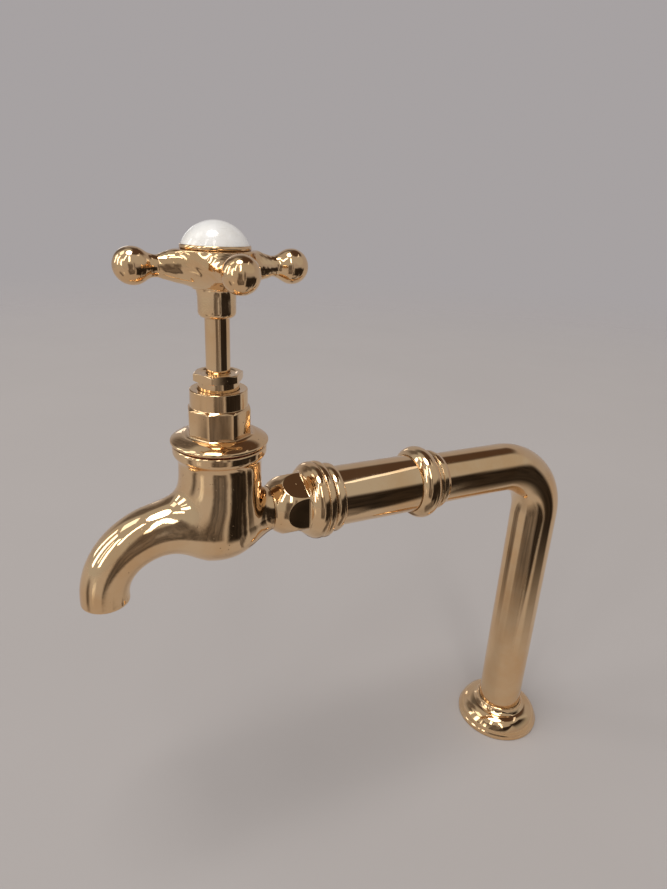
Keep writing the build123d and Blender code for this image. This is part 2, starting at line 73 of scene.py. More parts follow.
pipe_low, pipe_high = span("elbow_pipe")
body_low, body_high = span("tap_body")
stem_low, stem_high = span("spindle")
PIPE_RADIUS = -pipe_low[0]
ARM_HEIGHT = pipe_high[2] - PIPE_RADIUS
REACH = -(stem_low[1] + stem_high[1]) / 2
TUBE_PITCH = 25.4 / 14
SCREW_PITCH = 3.175


def length(name, description, millimetres):
    """A length that a user may change, given here in millimetres."""
    return FloatProperty(
        name=name, description=description, default=millimetres / 1000, min=0, unit="LENGTH", precision=4
    )


def share(name, description, default, most=1.0):
    """A plain number from nothing to its most."""
    return FloatProperty(
        name=name, description=description, default=default, min=0, max=most, subtype="FACTOR"
    )


def colour(name, description, *default):
    """A colour, in linear red, green and blue."""
    return FloatVectorProperty(
        name=name, description=description, default=default, size=3, min=0, max=1, subtype="COLOR"
    )


class TapSizes(bpy.types.PropertyGroup):
    """The tap's main sizes, taken from the frame, and how true its surfaces are."""

    pipe_radius: length("Pipe radius", "Outside radius of the stand pipe", PIPE_RADIUS)
    pipe_wall: length("Pipe wall", "Thickness of the stand pipe's wall", 1.2)
    bend_radius: length("Bend radius", "Radius of the pipe's bend, at its middle", 27.0)
    arm_height: length("Arm height", "Height of the arm's axis above the worktop", ARM_HEIGHT)
    reach: length("Reach", "Distance from the leg's axis to the spindle's", REACH)
    hand_finish: length("Hand finish", "How far the polished surfaces wander from true", 0.012)
    cast_wander: length("Cast wander", "How far the cast surfaces wander from true", 0.035)
    file_marks: length("File marks", "Depth of the facets that files left on the handle", 0.06)
    blend_spout: length("Spout fillet", "Where the spout starts to flow into the barrel", 13.0)
    blend_neck: length("Neck fillet", "Where the neck starts to flow into the barrel", 8.0)
    blend_arms: length("Arm fillet", "Where the arms start to flow into the hub", 4.5)


class TapFinish(bpy.types.PropertyGroup):
    """The tap's colours and how bright it is polished."""

    brass: colour("Brass", "Clean polished brass", 0.88, 0.64, 0.385)
    warm_brass: colour("Warm brass", "Brass where it has started to turn", 0.83, 0.55, 0.295)
    # This colour is dirt in the pores of castings, and painted shade mixed with old polish in corners and
    # between parts.
    grime_and_shade: colour("Grime", "Old polish and dirt in the corners", 0.10, 0.055, 0.025)
    bright: share("Brightest polish", "Roughness of the best polished places", 0.03)
    dull: share("Dullest polish", "Roughness of the worst polished places", 0.10)
    china: colour("China", "White glazed china", 0.93, 0.92, 0.90)
    rubber: colour("Rubber", "Black rubber", 0.022, 0.021, 0.020)
    fibre: colour("Fibre", "Red vulcanised fibre", 0.33, 0.06, 0.035)
    cord: colour("Packing", "Greased packing cord", 0.50, 0.41, 0.27)


class TapStage(bpy.types.PropertyGroup):
    """The floor, the light and the camera's place."""

    floor: colour("Floor", "Plain pale floor", 0.46, 0.43, 0.42)
    sky: colour("Background", "Light near the horizon", 0.385, 0.36, 0.362)
    glow: colour("Bright walls", "Walls beside the windows", 0.44, 0.43, 0.42)
    wall: colour("Dim walls", "Walls away from the windows", 0.085, 0.055, 0.04)
    ceiling: colour("Ceiling", "Light from above, between the windows", 0.12, 0.11, 0.105)
    black: colour("Black screens", "Darkest of what the metal reflects", 0.035, 0.028, 0.024)
    brown: colour("Brown screens", "Dim walls that the metal reflects", 0.19, 0.165, 0.155)
    pale: colour("Pale screens", "Lit strips that the metal reflects", 1.0, 0.96, 0.9)
    daylight: colour("Daylight", "Colour of the windows", 1.0, 0.985, 0.96)
    key: share("Key", "Brightness of the windows", 2.0, 50.0)
    skylight: share("Skylight", "Brightness of the soft light overhead", 1.2, 50.0)


def mm(value):
    """A property's length in millimetres."""
    return value * 1000


# Profiles


def circle(start, middle, end):
    """The centre of the circle through three points, which is as far from each of them."""
    a, b, c = (np.array(p, float) for p in (start, middle, end))
    u, v = b - a, c - a
    cross = u[0] * v[1] - u[1] * v[0]
    return a + np.array([v[1] * (u @ u) - u[1] * (v @ v), u[0] * (v @ v) - v[0] * (u @ u)]) / (2 * cross)


def arc(start, middle, end, count=13):
    """Points on the circle through three points: the angle runs evenly from the first, past
    the second, to the third."""
    a, b, c = (np.array(p, float) for p in (start, middle, end))
    centre = circle(a, b, c)
    first, last = (np.arctan2(p[1] - centre[1], p[0] - centre[0]) for p in (a, c))
    way = np.sign((b - a)[0] * (c - a)[1] - (b - a)[1] * (c - a)[0])
    angle = first + way * ((last - first) * way % (2 * pi)) * np.linspace(0, 1, count)
    return centre + np.hypot(*(a - centre)) * np.stack([np.cos(angle), np.sin(angle)], 1)


def bow(x, start, middle, end):
    """The height at x of the circle through three points, on its side away from the centre,
    or its height at the nearer end outside them."""
    centre = circle(start, middle, end)
    across = np.clip(x, start[0], end[0]) - centre[0]
    side = np.sign(middle[1] - centre[1])
    reach = np.hypot(start[0] - centre[0], start[1] - centre[1])
    return centre[1] + side * np.sqrt(np.maximum(reach**2 - across**2, 0))


def fillet(before, corner, after, radius, count=7):
    """Points on the arc that touches both sides of a corner. It starts and ends at the
    radius over the tangent of half the corner's angle, or less on a short side."""
    a, b = before - corner, after - corner
    la, lb = np.hypot(*a), np.hypot(*b)
    a, b = a / la, b / lb
    half = np.arccos(np.clip(a @ b, -0.999999, 0.999999)) / 2
    back = min(radius / tan(half), 0.48 * la, 0.48 * lb)
    radius = back * tan(half)
    towards = (a + b) / np.hypot(*(a + b))
    middle = corner + towards * (radius / sin(half) - radius)
    return arc(corner + a * back, middle, corner + b * back, count)


def outline(*steps, closed=True, longest=1.6):
    """A profile of radius and distance along the axis. A step is a corner, with a third
    number for its fillet, or an array of points on a curve. Long runs are divided, more
    finely near their ends, so that smooth shading stays flat on flat places."""
    corners, radii = [], []
    for step in steps:
        if isinstance(step, tuple):
            corners.append(np.array(step[:2], float))
            radii.append(step[2] if len(step) > 2 else 0.0)
        else:
            corners += list(step)
            radii += [0.0] * len(step)
    points, count = [], len(corners)
    for i, (corner, radius) in enumerate(zip(corners, radii)):
        inside = closed or 0 < i < count - 1
        if radius and inside:
            points += list(fillet(corners[i - 1], corner, corners[(i + 1) % count], radius))
        else:
            points.append(corner)
    ends = points[1:] + points[:1] if closed else points[1:]
    runs = []
    for a, b in zip(points, ends):
        parts = max(1, int(np.ceil(np.hypot(*(b - a)) / longest)))
        parts = parts + 2 if parts > 1 else 1
        t = (1 - np.cos(pi * np.arange(parts) / parts)) / 2
        runs.append(a + (b - a) * t[:, None])
    return np.concatenate(runs if closed else [*runs, points[-1][None]])


# Surfaces


def grid_quads(rows, columns, closed):
    """The four-sided faces between neighbouring points of a grid whose columns close into
    a ring, and whose rows do so too where the profile is closed."""
    i = np.arange(rows if closed else rows - 1)[:, None]
    j = np.arange(columns)[None, :]
    near, far = i * columns, (i + 1) % rows * columns
    return np.stack([near + j, near + (j + 1) % columns, far + (j + 1) % columns, far + j], -1).reshape(-1, 4)


def rows_of(x, y, z):
    """Three arrays over a grid, joined into one row of three numbers for each point."""
    return np.stack(np.broadcast_arrays(x, y, z), -1).reshape(-1, 3)


def outward(points, faces):
    """The faces turned to point outwards: the signed volume under them is made positive."""
    a, b, c, d = (points[faces[:, k]] for k in range(4))
    volume = np.einsum("ij,ij->", a, np.cross(b, c)) + np.einsum("ij,ij->", a, np.cross(c, d))
    return faces if volume > 0 else faces[:, ::-1]


def put_mesh(name, points, quads, poles=(), lay=None, normals=None):
    """Makes an object from points in millimetres. A pole is a row of the grid that has
    shrunk to one point: its points are merged, so its quads become triangles. Lay is the
    turner's direction at each point: cosine and sine of the angle, and distance along."""
    quads = outward(points, quads)
    new = np.arange(len(points))
    for row in poles:
        new[row] = row.start
    used = np.zeros(len(points), bool)
    used[new] = True
    number = np.cumsum(used) - 1
    corners = number[new[quads]]
    same = corners == np.roll(corners, -1, 1)
    kept = np.sum(~same, 1)
    loops = corners[~same]
    starts = np.concatenate([[0], np.cumsum(kept)[:-1]])
    mesh = bpy.data.meshes.new(name)
    mesh.vertices.add(int(used.sum()))
    mesh.vertices.foreach_set("co", (points[used] / 1000).astype(np.float32).ravel())
    mesh.loops.add(len(loops))
    mesh.loops.foreach_set("vertex_index", loops.astype(np.int32))
    mesh.polygons.add(len(kept))
    mesh.polygons.foreach_set("loop_start", starts.astype(np.int32))
    mesh.update(calc_edges=True)
    mesh.shade_smooth()
    if lay is not None:
        mesh.attributes.new("lay", "FLOAT_VECTOR", "POINT").data.foreach_set(
            "vector", lay[used].astype(np.float32).ravel()
        )
    if normals is not None:
        mesh.normals_split_custom_set_from_vertices(normals[used].astype(np.float32))
    if mesh.validate():
        raise RuntimeError(f"{name}: its mesh had faults")
    piece = bpy.data.objects.new(name, mesh)
    bpy.context.scene.collection.objects.link(piece)
    return piece


def finish_piece(piece, material, body, slot, *nodes):
    """Gives a piece its material and body, and hides the nodes it stands for. The slot is not used."""
    piece.data.materials.append(bpy.data.materials[material])
    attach(piece, body)
    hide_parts(*nodes)


def on_spindle(radius, angle, along):
    """Turned about the spindle's axis: distance along is height."""
    return rows_of(radius * np.cos(angle), radius * np.sin(angle) - REACH, along)


def on_leg(radius, angle, along):
    """Turned about the leg's axis: distance along is height."""
    return rows_of(radius * np.cos(angle), radius * np.sin(angle), along)


def on_arm(radius, angle, along):
    """Turned about the arm's axis: distance along is away from the leg."""
    return rows_of(radius * np.cos(angle), -along, ARM_HEIGHT + radius * np.sin(angle))


def turned(name, profile, place, shape=None, around=160, closed=True):
    """A profile carried round an axis. Point i, j is profile point i, turned by j parts of
    a whole turn, and shape may change its radius from the radius, angle and distance."""
    angle = 2 * pi * np.arange(around)[None, :] / around
    radius, along = (np.repeat(profile[:, k : k + 1], around, 1) for k in range(2))
    angle = np.repeat(angle, len(profile), 0)
    if shape:
        radius = shape(radius, angle, along)
    points = place(radius, angle, along)
    travel = np.concatenate([[0], np.cumsum(np.hypot(*np.diff(profile, axis=0).T))])
    lay = rows_of(np.cos(angle), np.sin(angle), travel[:, None])
    poles = [] if closed else [slice(0, around), slice(len(points) - around, len(points))]
    return put_mesh(name, points, grid_quads(len(profile), around, closed), poles, lay)


def turn_piece(name, node, material, slot, *parts, body="tap", **settings):
    """A turned piece with its finish, in place of one node."""
    finish_piece(turned(name, *parts, **settings), material, body, slot, node)


def wander(radius, angle, along):
    """Hand polishing leaves a surface slightly out of true: three slow waves round the axis,
    which drift with the distance along it, are added to the radius."""
    amount = mm(bpy.context.scene.tap_sizes.hand_finish)
    waves = np.sin(2 * angle + along / 9) + 0.6 * np.sin(3 * angle - along / 5 + 1.3)
    return radius + amount * (waves + 0.35 * np.sin(5 * angle + along / 3.1 + 0.4))


def softer(a, b, width):
    """The smaller of two values, with the corner between them rounded off: where they are
    closer than the width, the cube of how much closer is taken away."""
    near = np.maximum(width - np.abs(a - b), 0) / width
    return np.minimum(a, b) - near**3 * width / 6


def flats(radius, angle, across, sides, turn, width=0.12, full=0.0, lift=0.0):
    """A radius cut by a nut's flats: half the size across them over the cosine of the angle
    from the nearest flat's middle, and a lift added, where that is smaller. Polishing leaves
    a flat full in the middle: by an amount that falls to nothing at its corners with the
    square of the angle."""
    part = 2 * pi / sides
    off = (angle - radians(turn)) % part - part / 2
    cut = (across / 2 + full * (1 - (2 * off / part) ** 2)) / np.cos(off)
    return softer(radius, cut + lift, width)


def threaded(radius, angle, along, pitch, depth, low, high):
    """A thread with round crests and roots: the radius drops by a cosine of the distance
    along less the share of a turn, and runs out over one pitch at each end."""
    wave = (1 - np.cos(2 * pi * (along / pitch - angle / (2 * pi)))) / 2
    fade = np.clip((along - low) / pitch, 0, 1) * np.clip((high - along) / pitch, 0, 1)
    return radius - depth * wave * fade


# Materials


class Shader:
    """The nodes of a material or a world. make adds a node and sets or links its inputs by
    name or number; place is the surface's own place in millimetres."""

    def __init__(self, name, kind="material"):
        self.made = (bpy.data.materials if kind == "material" else bpy.data.worlds).new(name)
        self.made.use_nodes = True
        self.tree = self.made.node_tree
        self.tree.nodes.clear()
        self.output = self.tree.nodes.new("ShaderNodeOutput" + kind.title())
        self.source = self.tree.nodes.new("ShaderNodeTexCoord")
        if kind == "material":
            scaled = {"Vector": self.source.outputs["Object"], "Scale": (1000,) * 3}
            self.place = self.make("ShaderNodeMapping", scaled).outputs[0]

    def make(self, kind, inputs=None, **settings):
        node = self.tree.nodes.new(kind)
        for key, value in settings.items():
            setattr(node, key, value)
        for key, value in (inputs or {}).items():
            socket = node.inputs[key]
            if isinstance(value, bpy.types.NodeSocket):
                self.tree.links.new(value, socket)
            elif socket.type == "RGBA" and len(value) == 3:
                socket.default_value = (*value, 1)
            else:
                socket.default_value = value
        return node

    def noise(self, scale, detail=3.0, rough=0.5, vector=None):
        """Smooth noise in millimetres: its lumps are about one over the scale apart."""
        inputs = {"Vector": vector or self.place, "Scale": scale, "Detail": detail, "Roughness": rough}
        return self.make("ShaderNodeTexNoise", inputs).outputs["Fac"]

    def join(self, operation, a, b):
        """Two numbers added, multiplied or joined by another operation."""
        return self.make("ShaderNodeMath", {0: a, 1: b}, operation=operation).outputs[0]

    def fit(self, value, low, high, to_low=0.0, to_high=1.0, way="LINEAR"):
        """The value carried from one range to another, and held at its ends."""
        inputs = {"Value": value, "From Min": low, "From Max": high, "To Min": to_low, "To Max": to_high}
        return self.make("ShaderNodeMapRange", inputs, interpolation_type=way).outputs[0]

    def mix(self, share, a, b, blend="MIX"):
        """Two colours mixed by a share."""
        node = self.make("ShaderNodeMix", data_type="RGBA", blend_type=blend)
        for key, value in ((0, share), (6, a), (7, b)):
            if isinstance(value, bpy.types.NodeSocket):
                self.tree.links.new(value, node.inputs[key])
            else:
                node.inputs[key].default_value = value if key == 0 else (*value, 1)
        return node.outputs[2]

    def bump(self, height, distance, normal=None, strength=1.0):
        """A surface pushed out by a height, its distance in millimetres."""
        inputs = {"Height": height, "Distance": distance / 1000, "Strength": strength}
        if normal:
            inputs["Normal"] = normal
        return self.make("ShaderNodeBump", inputs).outputs[0]

    def surface(self, **inputs):
        """The shader itself, with its inputs by name, an underscore for a space."""
        named = {key.replace("_", " "): value for key, value in inputs.items()}
        shader = self.make("ShaderNodeBsdfPrincipled", named)
        self.tree.links.new(shader.outputs[0], self.output.inputs[0])


def brass(name, finish, lines=0.0, lumps=0.0, pits=0.0):
    """Unlacquered brass. The colour drifts between clean and turning brass over about a
    finger's width, corners that little light reaches are darkened by painted shade and old polish, and
    wiping leaves the roughness uneven. Lines follow the lathe, lumps are a casting's, and pits its pores."""
    s = Shader(name)
    drift = s.fit(s.noise(0.06, 4.0, 0.55), 0.38, 0.66)
    tone = s.mix(drift, finish.brass, finish.warm_brass)
    # Painted shade with old polish: corners and joints between parts where the ambient occlusion node finds
    # little light are darkened with the grime colour, broken up by noise.
    reach = s.make("ShaderNodeAmbientOcclusion", {"Distance": 0.0022}, samples=6).outputs["AO"]
    corner = s.fit(reach, 0.30, 0.62, 1.0, 0.0)
    corner_shade_and_polish = s.join("MULTIPLY", corner, s.fit(s.noise(0.9, 5.0, 0.65), 0.30, 0.62))
    tone = s.mix(corner_shade_and_polish, tone, finish.grime_and_shade)
    wiped = s.fit(s.noise(0.16, 6.0, 0.6), 0.34, 0.70, finish.bright, finish.dull)
    rough = s.join("ADD", wiped, s.fit(corner, 0, 1, 0.0, 0.25))
    normal = s.bump(s.noise(1.6, 3.0, 0.5), 0.0008)
    if lines:
        lay = s.make("ShaderNodeAttribute", attribute_name="lay", attribute_type="GEOMETRY").outputs["Vector"]
        stretched = s.make("ShaderNodeMapping", {"Vector": lay, "Scale": (0.35, 0.35, 9.0)}).outputs[0]
        normal = s.bump(s.noise(1.0, 2.0, 0.5, stretched), 0.0006 * lines, normal)
    if lumps:
        normal = s.bump(s.noise(0.16, 2.0, 0.4), 0.06 * lumps, normal)
        normal = s.bump(s.noise(0.42, 2.0, 0.45), 0.035 * lumps, normal)
    if pits:
        spots = s.make("ShaderNodeTexVoronoi", {"Vector": s.place, "Scale": 0.55})
        patch = s.fit(s.noise(0.11, 2.0), 0.52, 0.62)
        pore = s.fit(spots.outputs["Distance"], 0.05, 0.13, 1.0, 0.0)
        hole = s.join("MULTIPLY", pore, patch)
        tone = s.mix(hole, tone, finish.grime_and_shade)
        normal = s.bump(s.fit(hole, 0, 1, 1.0, 0.0), 0.05 * pits, normal)
    s.surface(Base_Color=tone, Metallic=1.0, Roughness=rough, Normal=normal)


def glazed_china(finish):
    """White china under a thick clear glaze: a faint warm cloudiness, fine crazing where
    cells of a crack pattern meet, and a slight unevenness that the glaze has flowed over."""
    s = Shader("glazed_china")
    cloud = s.fit(s.noise(0.12, 3.0), 0.35, 0.7)
    tone = s.mix(cloud, finish.china, tuple(c * k for c, k in zip(finish.china, (0.985, 0.965, 0.93))))
    crack = s.make(
        "ShaderNodeTexVoronoi", {"Vector": s.place, "Scale": 0.42}, feature="DISTANCE_TO_EDGE"
    ).outputs["Distance"]
    line = s.fit(crack, 0.004, 0.016, 0.16, 0.0)
    tone = s.mix(line, tone, (0.42, 0.36, 0.28))
    normal = s.bump(s.noise(0.35, 2.0), 0.03)
    s.surface(
        Base_Color=tone,
        Roughness=s.fit(s.noise(0.3, 2.0), 0.3, 0.7, 0.28, 0.40),
        Coat_Weight=1.0,
        Coat_Roughness=0.03,
        Normal=normal,
        Coat_Normal=s.bump(s.noise(0.2, 2.0), 0.02),
    )


def soft_material(name, base, other, scale, rough, depth):
    """Rubber, fibre or cord: two tones in a fine grain, which also roughens the surface."""
    s = Shader(name)
    grain = s.noise(scale, 5.0, 0.7)
    tone = s.mix(s.fit(grain, 0.35, 0.65), base, other)
    bloom = s.fit(s.noise(0.15, 3.0), 0.4, 0.7, rough, min(rough + 0.12, 1.0))
    s.surface(Base_Color=tone, Roughness=bloom, Normal=s.bump(grain, depth))


class TAP_OT_finishes(bpy.types.Operator):
    """Makes the brass, china, rubber, fibre and packing materials"""

    bl_idname = "tap.finishes"
    bl_label = "Finishes"

    def execute(self, context):
        finish = context.scene.tap_finish
        brass("burnished_tube", finish, lines=0.5)
        brass("lathe_brass", finish, lines=1.0, pits=0.4)
        brass("worn_brass", finish, lines=0.8, lumps=0.3, pits=0.9)
        brass("filed_brass", finish, lumps=1.0, pits=0.7)
        brass("foundry_brass", finish, lumps=0.6, pits=1.0)
        brass("bench_brass", finish, lumps=0.4)
        glazed_china(finish)
        darker = tuple(0.6 * c for c in finish.rubber)
        soft_material("worn_rubber", darker, tuple(1.5 * c for c in finish.rubber), 1.5, 0.62, 0.01)
        soft_material("vulcan_fibre", finish.fibre, tuple(0.6 * c for c in finish.fibre), 3.0, 0.55, 0.01)
        soft_material("greased_cord", finish.cord, tuple(0.45 * c for c in finish.cord), 1.2, 0.7, 0.08)
        return {"FINISHED"}


class TAP_OT_stand_pipe(bpy.types.Operator):
    """Bends the stand pipe: a ring carried up the leg, round the bend and out along the arm"""

    bl_idname = "tap.stand_pipe"
    bl_label = "Stand pipe"

    def execute(self, context):
        sizes = context.scene.tap_sizes
        radius, bend = mm(sizes.pipe_radius), mm(sizes.bend_radius)
        low, far = pipe_low[2], -pipe_low[1]
        rise = mm(sizes.arm_height) - bend - low
        quarter = bend * pi / 2
        whole = rise + quarter + far - bend
        # distance along the middle line, closer together round the bend
        edge, drop, around = 0.6, 0.35, 144
        marks = [0, edge, rise, rise + quarter, whole - edge, whole]
        steps = np.interp(np.arange(331), [0, 4, 110, 230, 326, 330], marks)
        along = np.concatenate([steps, steps[::3][::-1]])
        wall = np.full(len(along), radius)
        wall[len(steps) :] = radius - mm(sizes.pipe_wall)
        # both ends are rounded off by the square of how near the end is
        for near in (steps, whole - steps):
            wall[: len(steps)] -= drop * np.clip(1 - near / edge, 0, 1) ** 2
        # a bent tube flattens a little across the bend and spreads beside it
        turn = np.clip((along - rise) / bend, 0, pi / 2)[:, None]
        along = along[:, None]
        angle = 2 * pi * np.arange(around)[None, :] / around
        flattened = 0.18 * np.sin(2 * turn) ** 2 * (1 - 2.0 * np.sin(angle) ** 2)
        wall = wander(wall[:, None] + flattened, angle, along)
        y = -bend * (1 - np.cos(turn)) - np.maximum(along - rise - quarter, 0)
        z = low + np.minimum(along, rise) + bend * np.sin(turn)
        across = wall * np.sin(angle)
        points = rows_of(wall * np.cos(angle), y + across * np.cos(turn), z + across * np.sin(turn))
        lay = rows_of(np.cos(angle), np.sin(angle), along)
        pipe = put_mesh("stand_pipe", points, grid_quads(len(along), around, True), lay=lay)
        finish_piece(pipe, "burnished_tube", "tap", "polished_brass", "elbow_pipe")
        return {"FINISHED"}


class TAP_OT_foot(bpy.types.Operator):
    """Turns the domed foot that stands on the worktop"""

    bl_idname = "tap.foot"
    bl_label = "Foot"

    def execute(self, context):
        outer = span("base_flange")[1][0]
        top = span("base_flange")[1][2]
        profile = outline(
            (11.05, 3.0), (10.58, 3.0), (10.58, 0.0), (13.2, 0.0), (13.2, 1.5), (17.4, 1.5),
            (17.4, 0.0), (outer, 0.0, 0.35), (outer, 2.2, 0.5),
            arc((20.75, 2.75), (18.2, 7.4), (13.5, 9.55), 25),
            arc((13.3, 9.75), (12.15, 10.75), (11.75, top - 0.1), 9), (11.05, top, 0.1),
        )
        turn_piece(
            "foot", "base_flange", "worn_brass", "polished_brass", profile, on_leg, wander, around=192
        )
        return {"FINISHED"}


class TAP_OT_clamp(bpy.types.Operator):
    """Makes the threaded tail and the washers and nut that clamp the tap from below"""

    bl_idname = "tap.clamp"
    bl_label = "Tail and clamp"

    def execute(self, context):
        low, high = span("deck_tail")
        thread = high[0]

        def cut(radius, angle, along):
            screw = threaded(radius, angle, along, TUBE_PITCH, 1.1, low[2] + 0.4, -2.0)
            return np.where(radius > thread - 1.5, screw, radius)

        profile = outline(
            (7.5, low[2], 0.3), (thread, low[2], 0.8), (thread, 3.0, 0.2), (9.75, 3.0),
            (9.75, high[2], 0.5), (7.5, high[2], 0.2), longest=0.16,
        )
        keep = np.abs(profile[:, 0] - thread) < 1.0
        keep |= np.arange(len(profile)) % 6 == 0
        turn_piece(
            "threaded_tail", "deck_tail", "lathe_brass", "turned_brass",
            profile[keep], on_leg, cut, around=96,
        )

        hole = 10.68
        for name, node, material, slot, shape, rounds in (
            ("rubber_washer", "deck_washer", "worn_rubber", "black_rubber", None, (0.3, 0.7, 0.7, 0.3)),
            ("flat_washer", "clamp_washer", "lathe_brass", "turned_brass", wander, (0.2, 0.45, 0.2, 0.2)),
        ):
            low, high = span(node)
            corners = ((hole, low[2]), (high[0], low[2]), (high[0], high[2]), (hole, high[2]))
            edge = outline(*((*corner, round_off) for corner, round_off in zip(corners, rounds)))
            turn_piece(name, node, material, slot, edge, on_leg, shape, around=128)

        low, high = span("back_nut")
        across = high[1] - low[1]
        corner = across / 2 / cos(pi / 6) + 0.1
        edge = outline(
            (10.6, low[2] + 0.7), (11.4, low[2], 0.2), (across / 2 - 0.3, low[2], 0.2),
            (corner, low[2] + 1.35), (corner, high[2] - 1.35), (across / 2 - 0.3, high[2], 0.2),
            (11.4, high[2], 0.2), (10.6, high[2] - 0.7), longest=0.5,
        )

        def hexagon(radius, angle, along):
            return flats(radius, angle, across, 6, 0.0)

        turn_piece(
            "back_nut_hexagon", "back_nut", "lathe_brass", "turned_brass",
            edge, on_leg, hexagon, around=240,
        )
        return {"FINISHED"}


class TAP_OT_arm(bpy.types.Operator):
    """Turns the knuckle ring, the sleeve and the threaded socket on the arm"""

    bl_idname = "tap.arm"
    bl_label = "Arm"

    def execute(self, context):
        low, high = span("knuckle_ring")
        crest = high[0]
        start, end = -high[1], -low[1]
        middle = end - 4.5
        profile = outline(
            (11.05, start), (11.4, start, 0.15), (12.35, start + 1.7, 0.5), (12.35, start + 2.5, 0.12),
            (12.9, start + 2.8, 0.18), (12.9, start + 4.0, 0.25), (12.45, start + 4.25, 0.1),
            (12.45, start + 4.75, 0.1), (12.95, start + 5.0, 0.2), (12.95, middle - 4.15, 0.12),
            arc((13.15, middle - 4.1), (crest, middle), (13.0, middle + 4.2), 33),
            (12.5, middle + 4.5, 0.2), (12.15, end), (12.15, end - 2.6), (11.05, end - 2.6),
        )
        turn_piece(
            "knuckle", "knuckle_ring", "lathe_brass", "polished_brass",
            profile, on_arm, wander, around=192,
        )

        low, high = span("arm_sleeve")
        profile = outline(
            (11.05, -high[1], 0.1), (high[0], -high[1], 0.15), (high[0], -low[1], 0.35),
            (11.05, -low[1], 0.1),
        )
        turn_piece(
            "sleeve", "arm_sleeve", "burnished_tube", "polished_brass",
            profile, on_arm, wander, around=176,
        )

        low, high = span("union_socket")
        crest = high[0]
        back, face = -high[1], -low[1]
        shoulder = back + 8.0
        front = shoulder + 4.4

        def cut(radius, angle, along):
            outside = (radius > 9.0) & (along > front)
            screw = threaded(radius, angle, along, TUBE_PITCH, 1.0, front + 0.8, face + 0.6)
            return np.where(outside, screw, wander(radius, angle, along))

        profile = outline(
            (8.0, back), (11.0, back, 0.3), (11.0, shoulder, 0.1), (crest - 0.9, shoulder, 0.3),
            arc((crest - 0.5, shoulder + 0.35), (crest, shoulder + 2.2), (crest - 0.5, front - 0.35), 15),
            (crest - 0.9, front, 0.3), (10.2, front, 0.2), (10.2, face, 0.5), (8.0, face, 0.3),
            longest=0.3,
        )
        turn_piece(
            "socket", "union_socket", "lathe_brass", "polished_brass", profile, on_arm, cut, around=160
        )
        return {"FINISHED"}


class TAP_OT_union_nut(bpy.types.Operator):
    """Turns the domed union nut, a flange and a bead behind a barrel, and mills its flats"""

    bl_idname = "tap.union_nut"
    bl_label = "Union nut"

    def execute(self, context):
        low, high = span("union_nut")
        crest, mouth = high[0], -high[1]
        heel = mouth + 9.0

        def milled(radius, angle, along):
            """The flats end in a small cove at the bead: a quarter of an ellipse lifts the
            flat from its own distance to the bead as the bead comes near."""
            left = np.clip(1 - (along - heel) / 1.3, 0, 1)
            lift = 2.2 * (1 - np.sqrt(np.clip(1 - left**2, 0, 1)))
            cut = flats(radius, angle, 21.9, 6, 32.0, 0.12, 0.09, lift)
            return np.where((radius > 9.6) & (along > heel - 0.02), cut, wander(radius, angle, along))

        profile = outline(
            (10.3, mouth + 0.4), (11.0, mouth, 0.2), (crest - 0.9, mouth, 0.3),
            arc((crest - 0.35, mouth + 0.3), (crest, mouth + 1.6), (crest - 0.12, mouth + 2.8), 17),
            (crest - 0.55, mouth + 3.1, 0.08),
            arc((crest - 0.12, mouth + 3.4), (crest - 0.3, mouth + 5.9), (crest - 1.3, mouth + 7.5), 25),
            arc((crest - 1.45, mouth + 7.65), (crest - 2.3, mouth + 8.55), (12.55, heel), 9),
            (12.4, heel + 0.1), arc((12.45, heel + 0.5), (12.5, heel + 2.6), (12.35, heel + 4.6), 19),
            arc((12.3, heel + 4.9), (11.2, heel + 9.2), (8.7, heel + 13.1), 41),
            (8.45, heel + 13.6, 0.3), (8.3, heel + 13.65), (8.3, heel + 11.6), (8.85, heel + 11.6),
            (8.85, mouth + 14.0), (10.3, mouth + 14.0), longest=0.35,
        )
        turn_piece(
            "domed_nut", "union_nut", "worn_brass", "polished_brass",
            profile, on_arm, milled, around=360,
        )
        return {"FINISHED"}


# Castings

# The body: the barrel, how far its ball's middle is below the arm's axis, the spout at its
# root and its mouth, the end of its middle line, its face, and the neck and its face
BARREL, BALL_DROP = 14.7, 1.2
SPOUT_ROOT, SPOUT_MOUTH = 10.4, 8.42
SPOUT_END, SPOUT_FACE = (42.8, -24.1), -26.1
NECK, NECK_FACE = 7.9, -19.2

# its waterways: the chamber, the well under the seat, the inlet, its socket, the pocket
# behind the spout and the spout's bore, by radius
CHAMBER, WELL, INLET, SOCKET, POCKET, BORE = 11.9, 6.2, 4.8, 6.4, 11.6, 6.4

# The handle: its arms' axis above its foot, and the balls' distance out and radius
ARMS_UP, BALL_OUT, BALL = 16.2, 25.8, 5.73


def cut_away(solid, hollow, width):
    """The solid's field with the hollow's taken out, the edge between them rounded."""
    return -softer(-solid, hollow, width)


def spout_line(t):
    """The spout's middle line, a cubic curve of the share t, ahead of the spindle's axis
    and above the arm's, with its first and second derivatives."""
    corners = np.array([(9.0, -1.6), (28.0, 2.8), (SPOUT_END[0], SPOUT_END[1] + 15.6), SPOUT_END])
    t = np.asarray(t)[..., None]
    u = 1 - t
    place = u**3 * corners[0] + 3 * u**2 * t * corners[1] + 3 * u * t**2 * corners[2] + t**3 * corners[3]
    a, b, c = np.diff(corners, axis=0)
    slope = 3 * (u**2 * a + 2 * u * t * b + t**2 * c)
    bend = 6 * (u * (b - a) + t * (c - b))
    return place, slope, bend


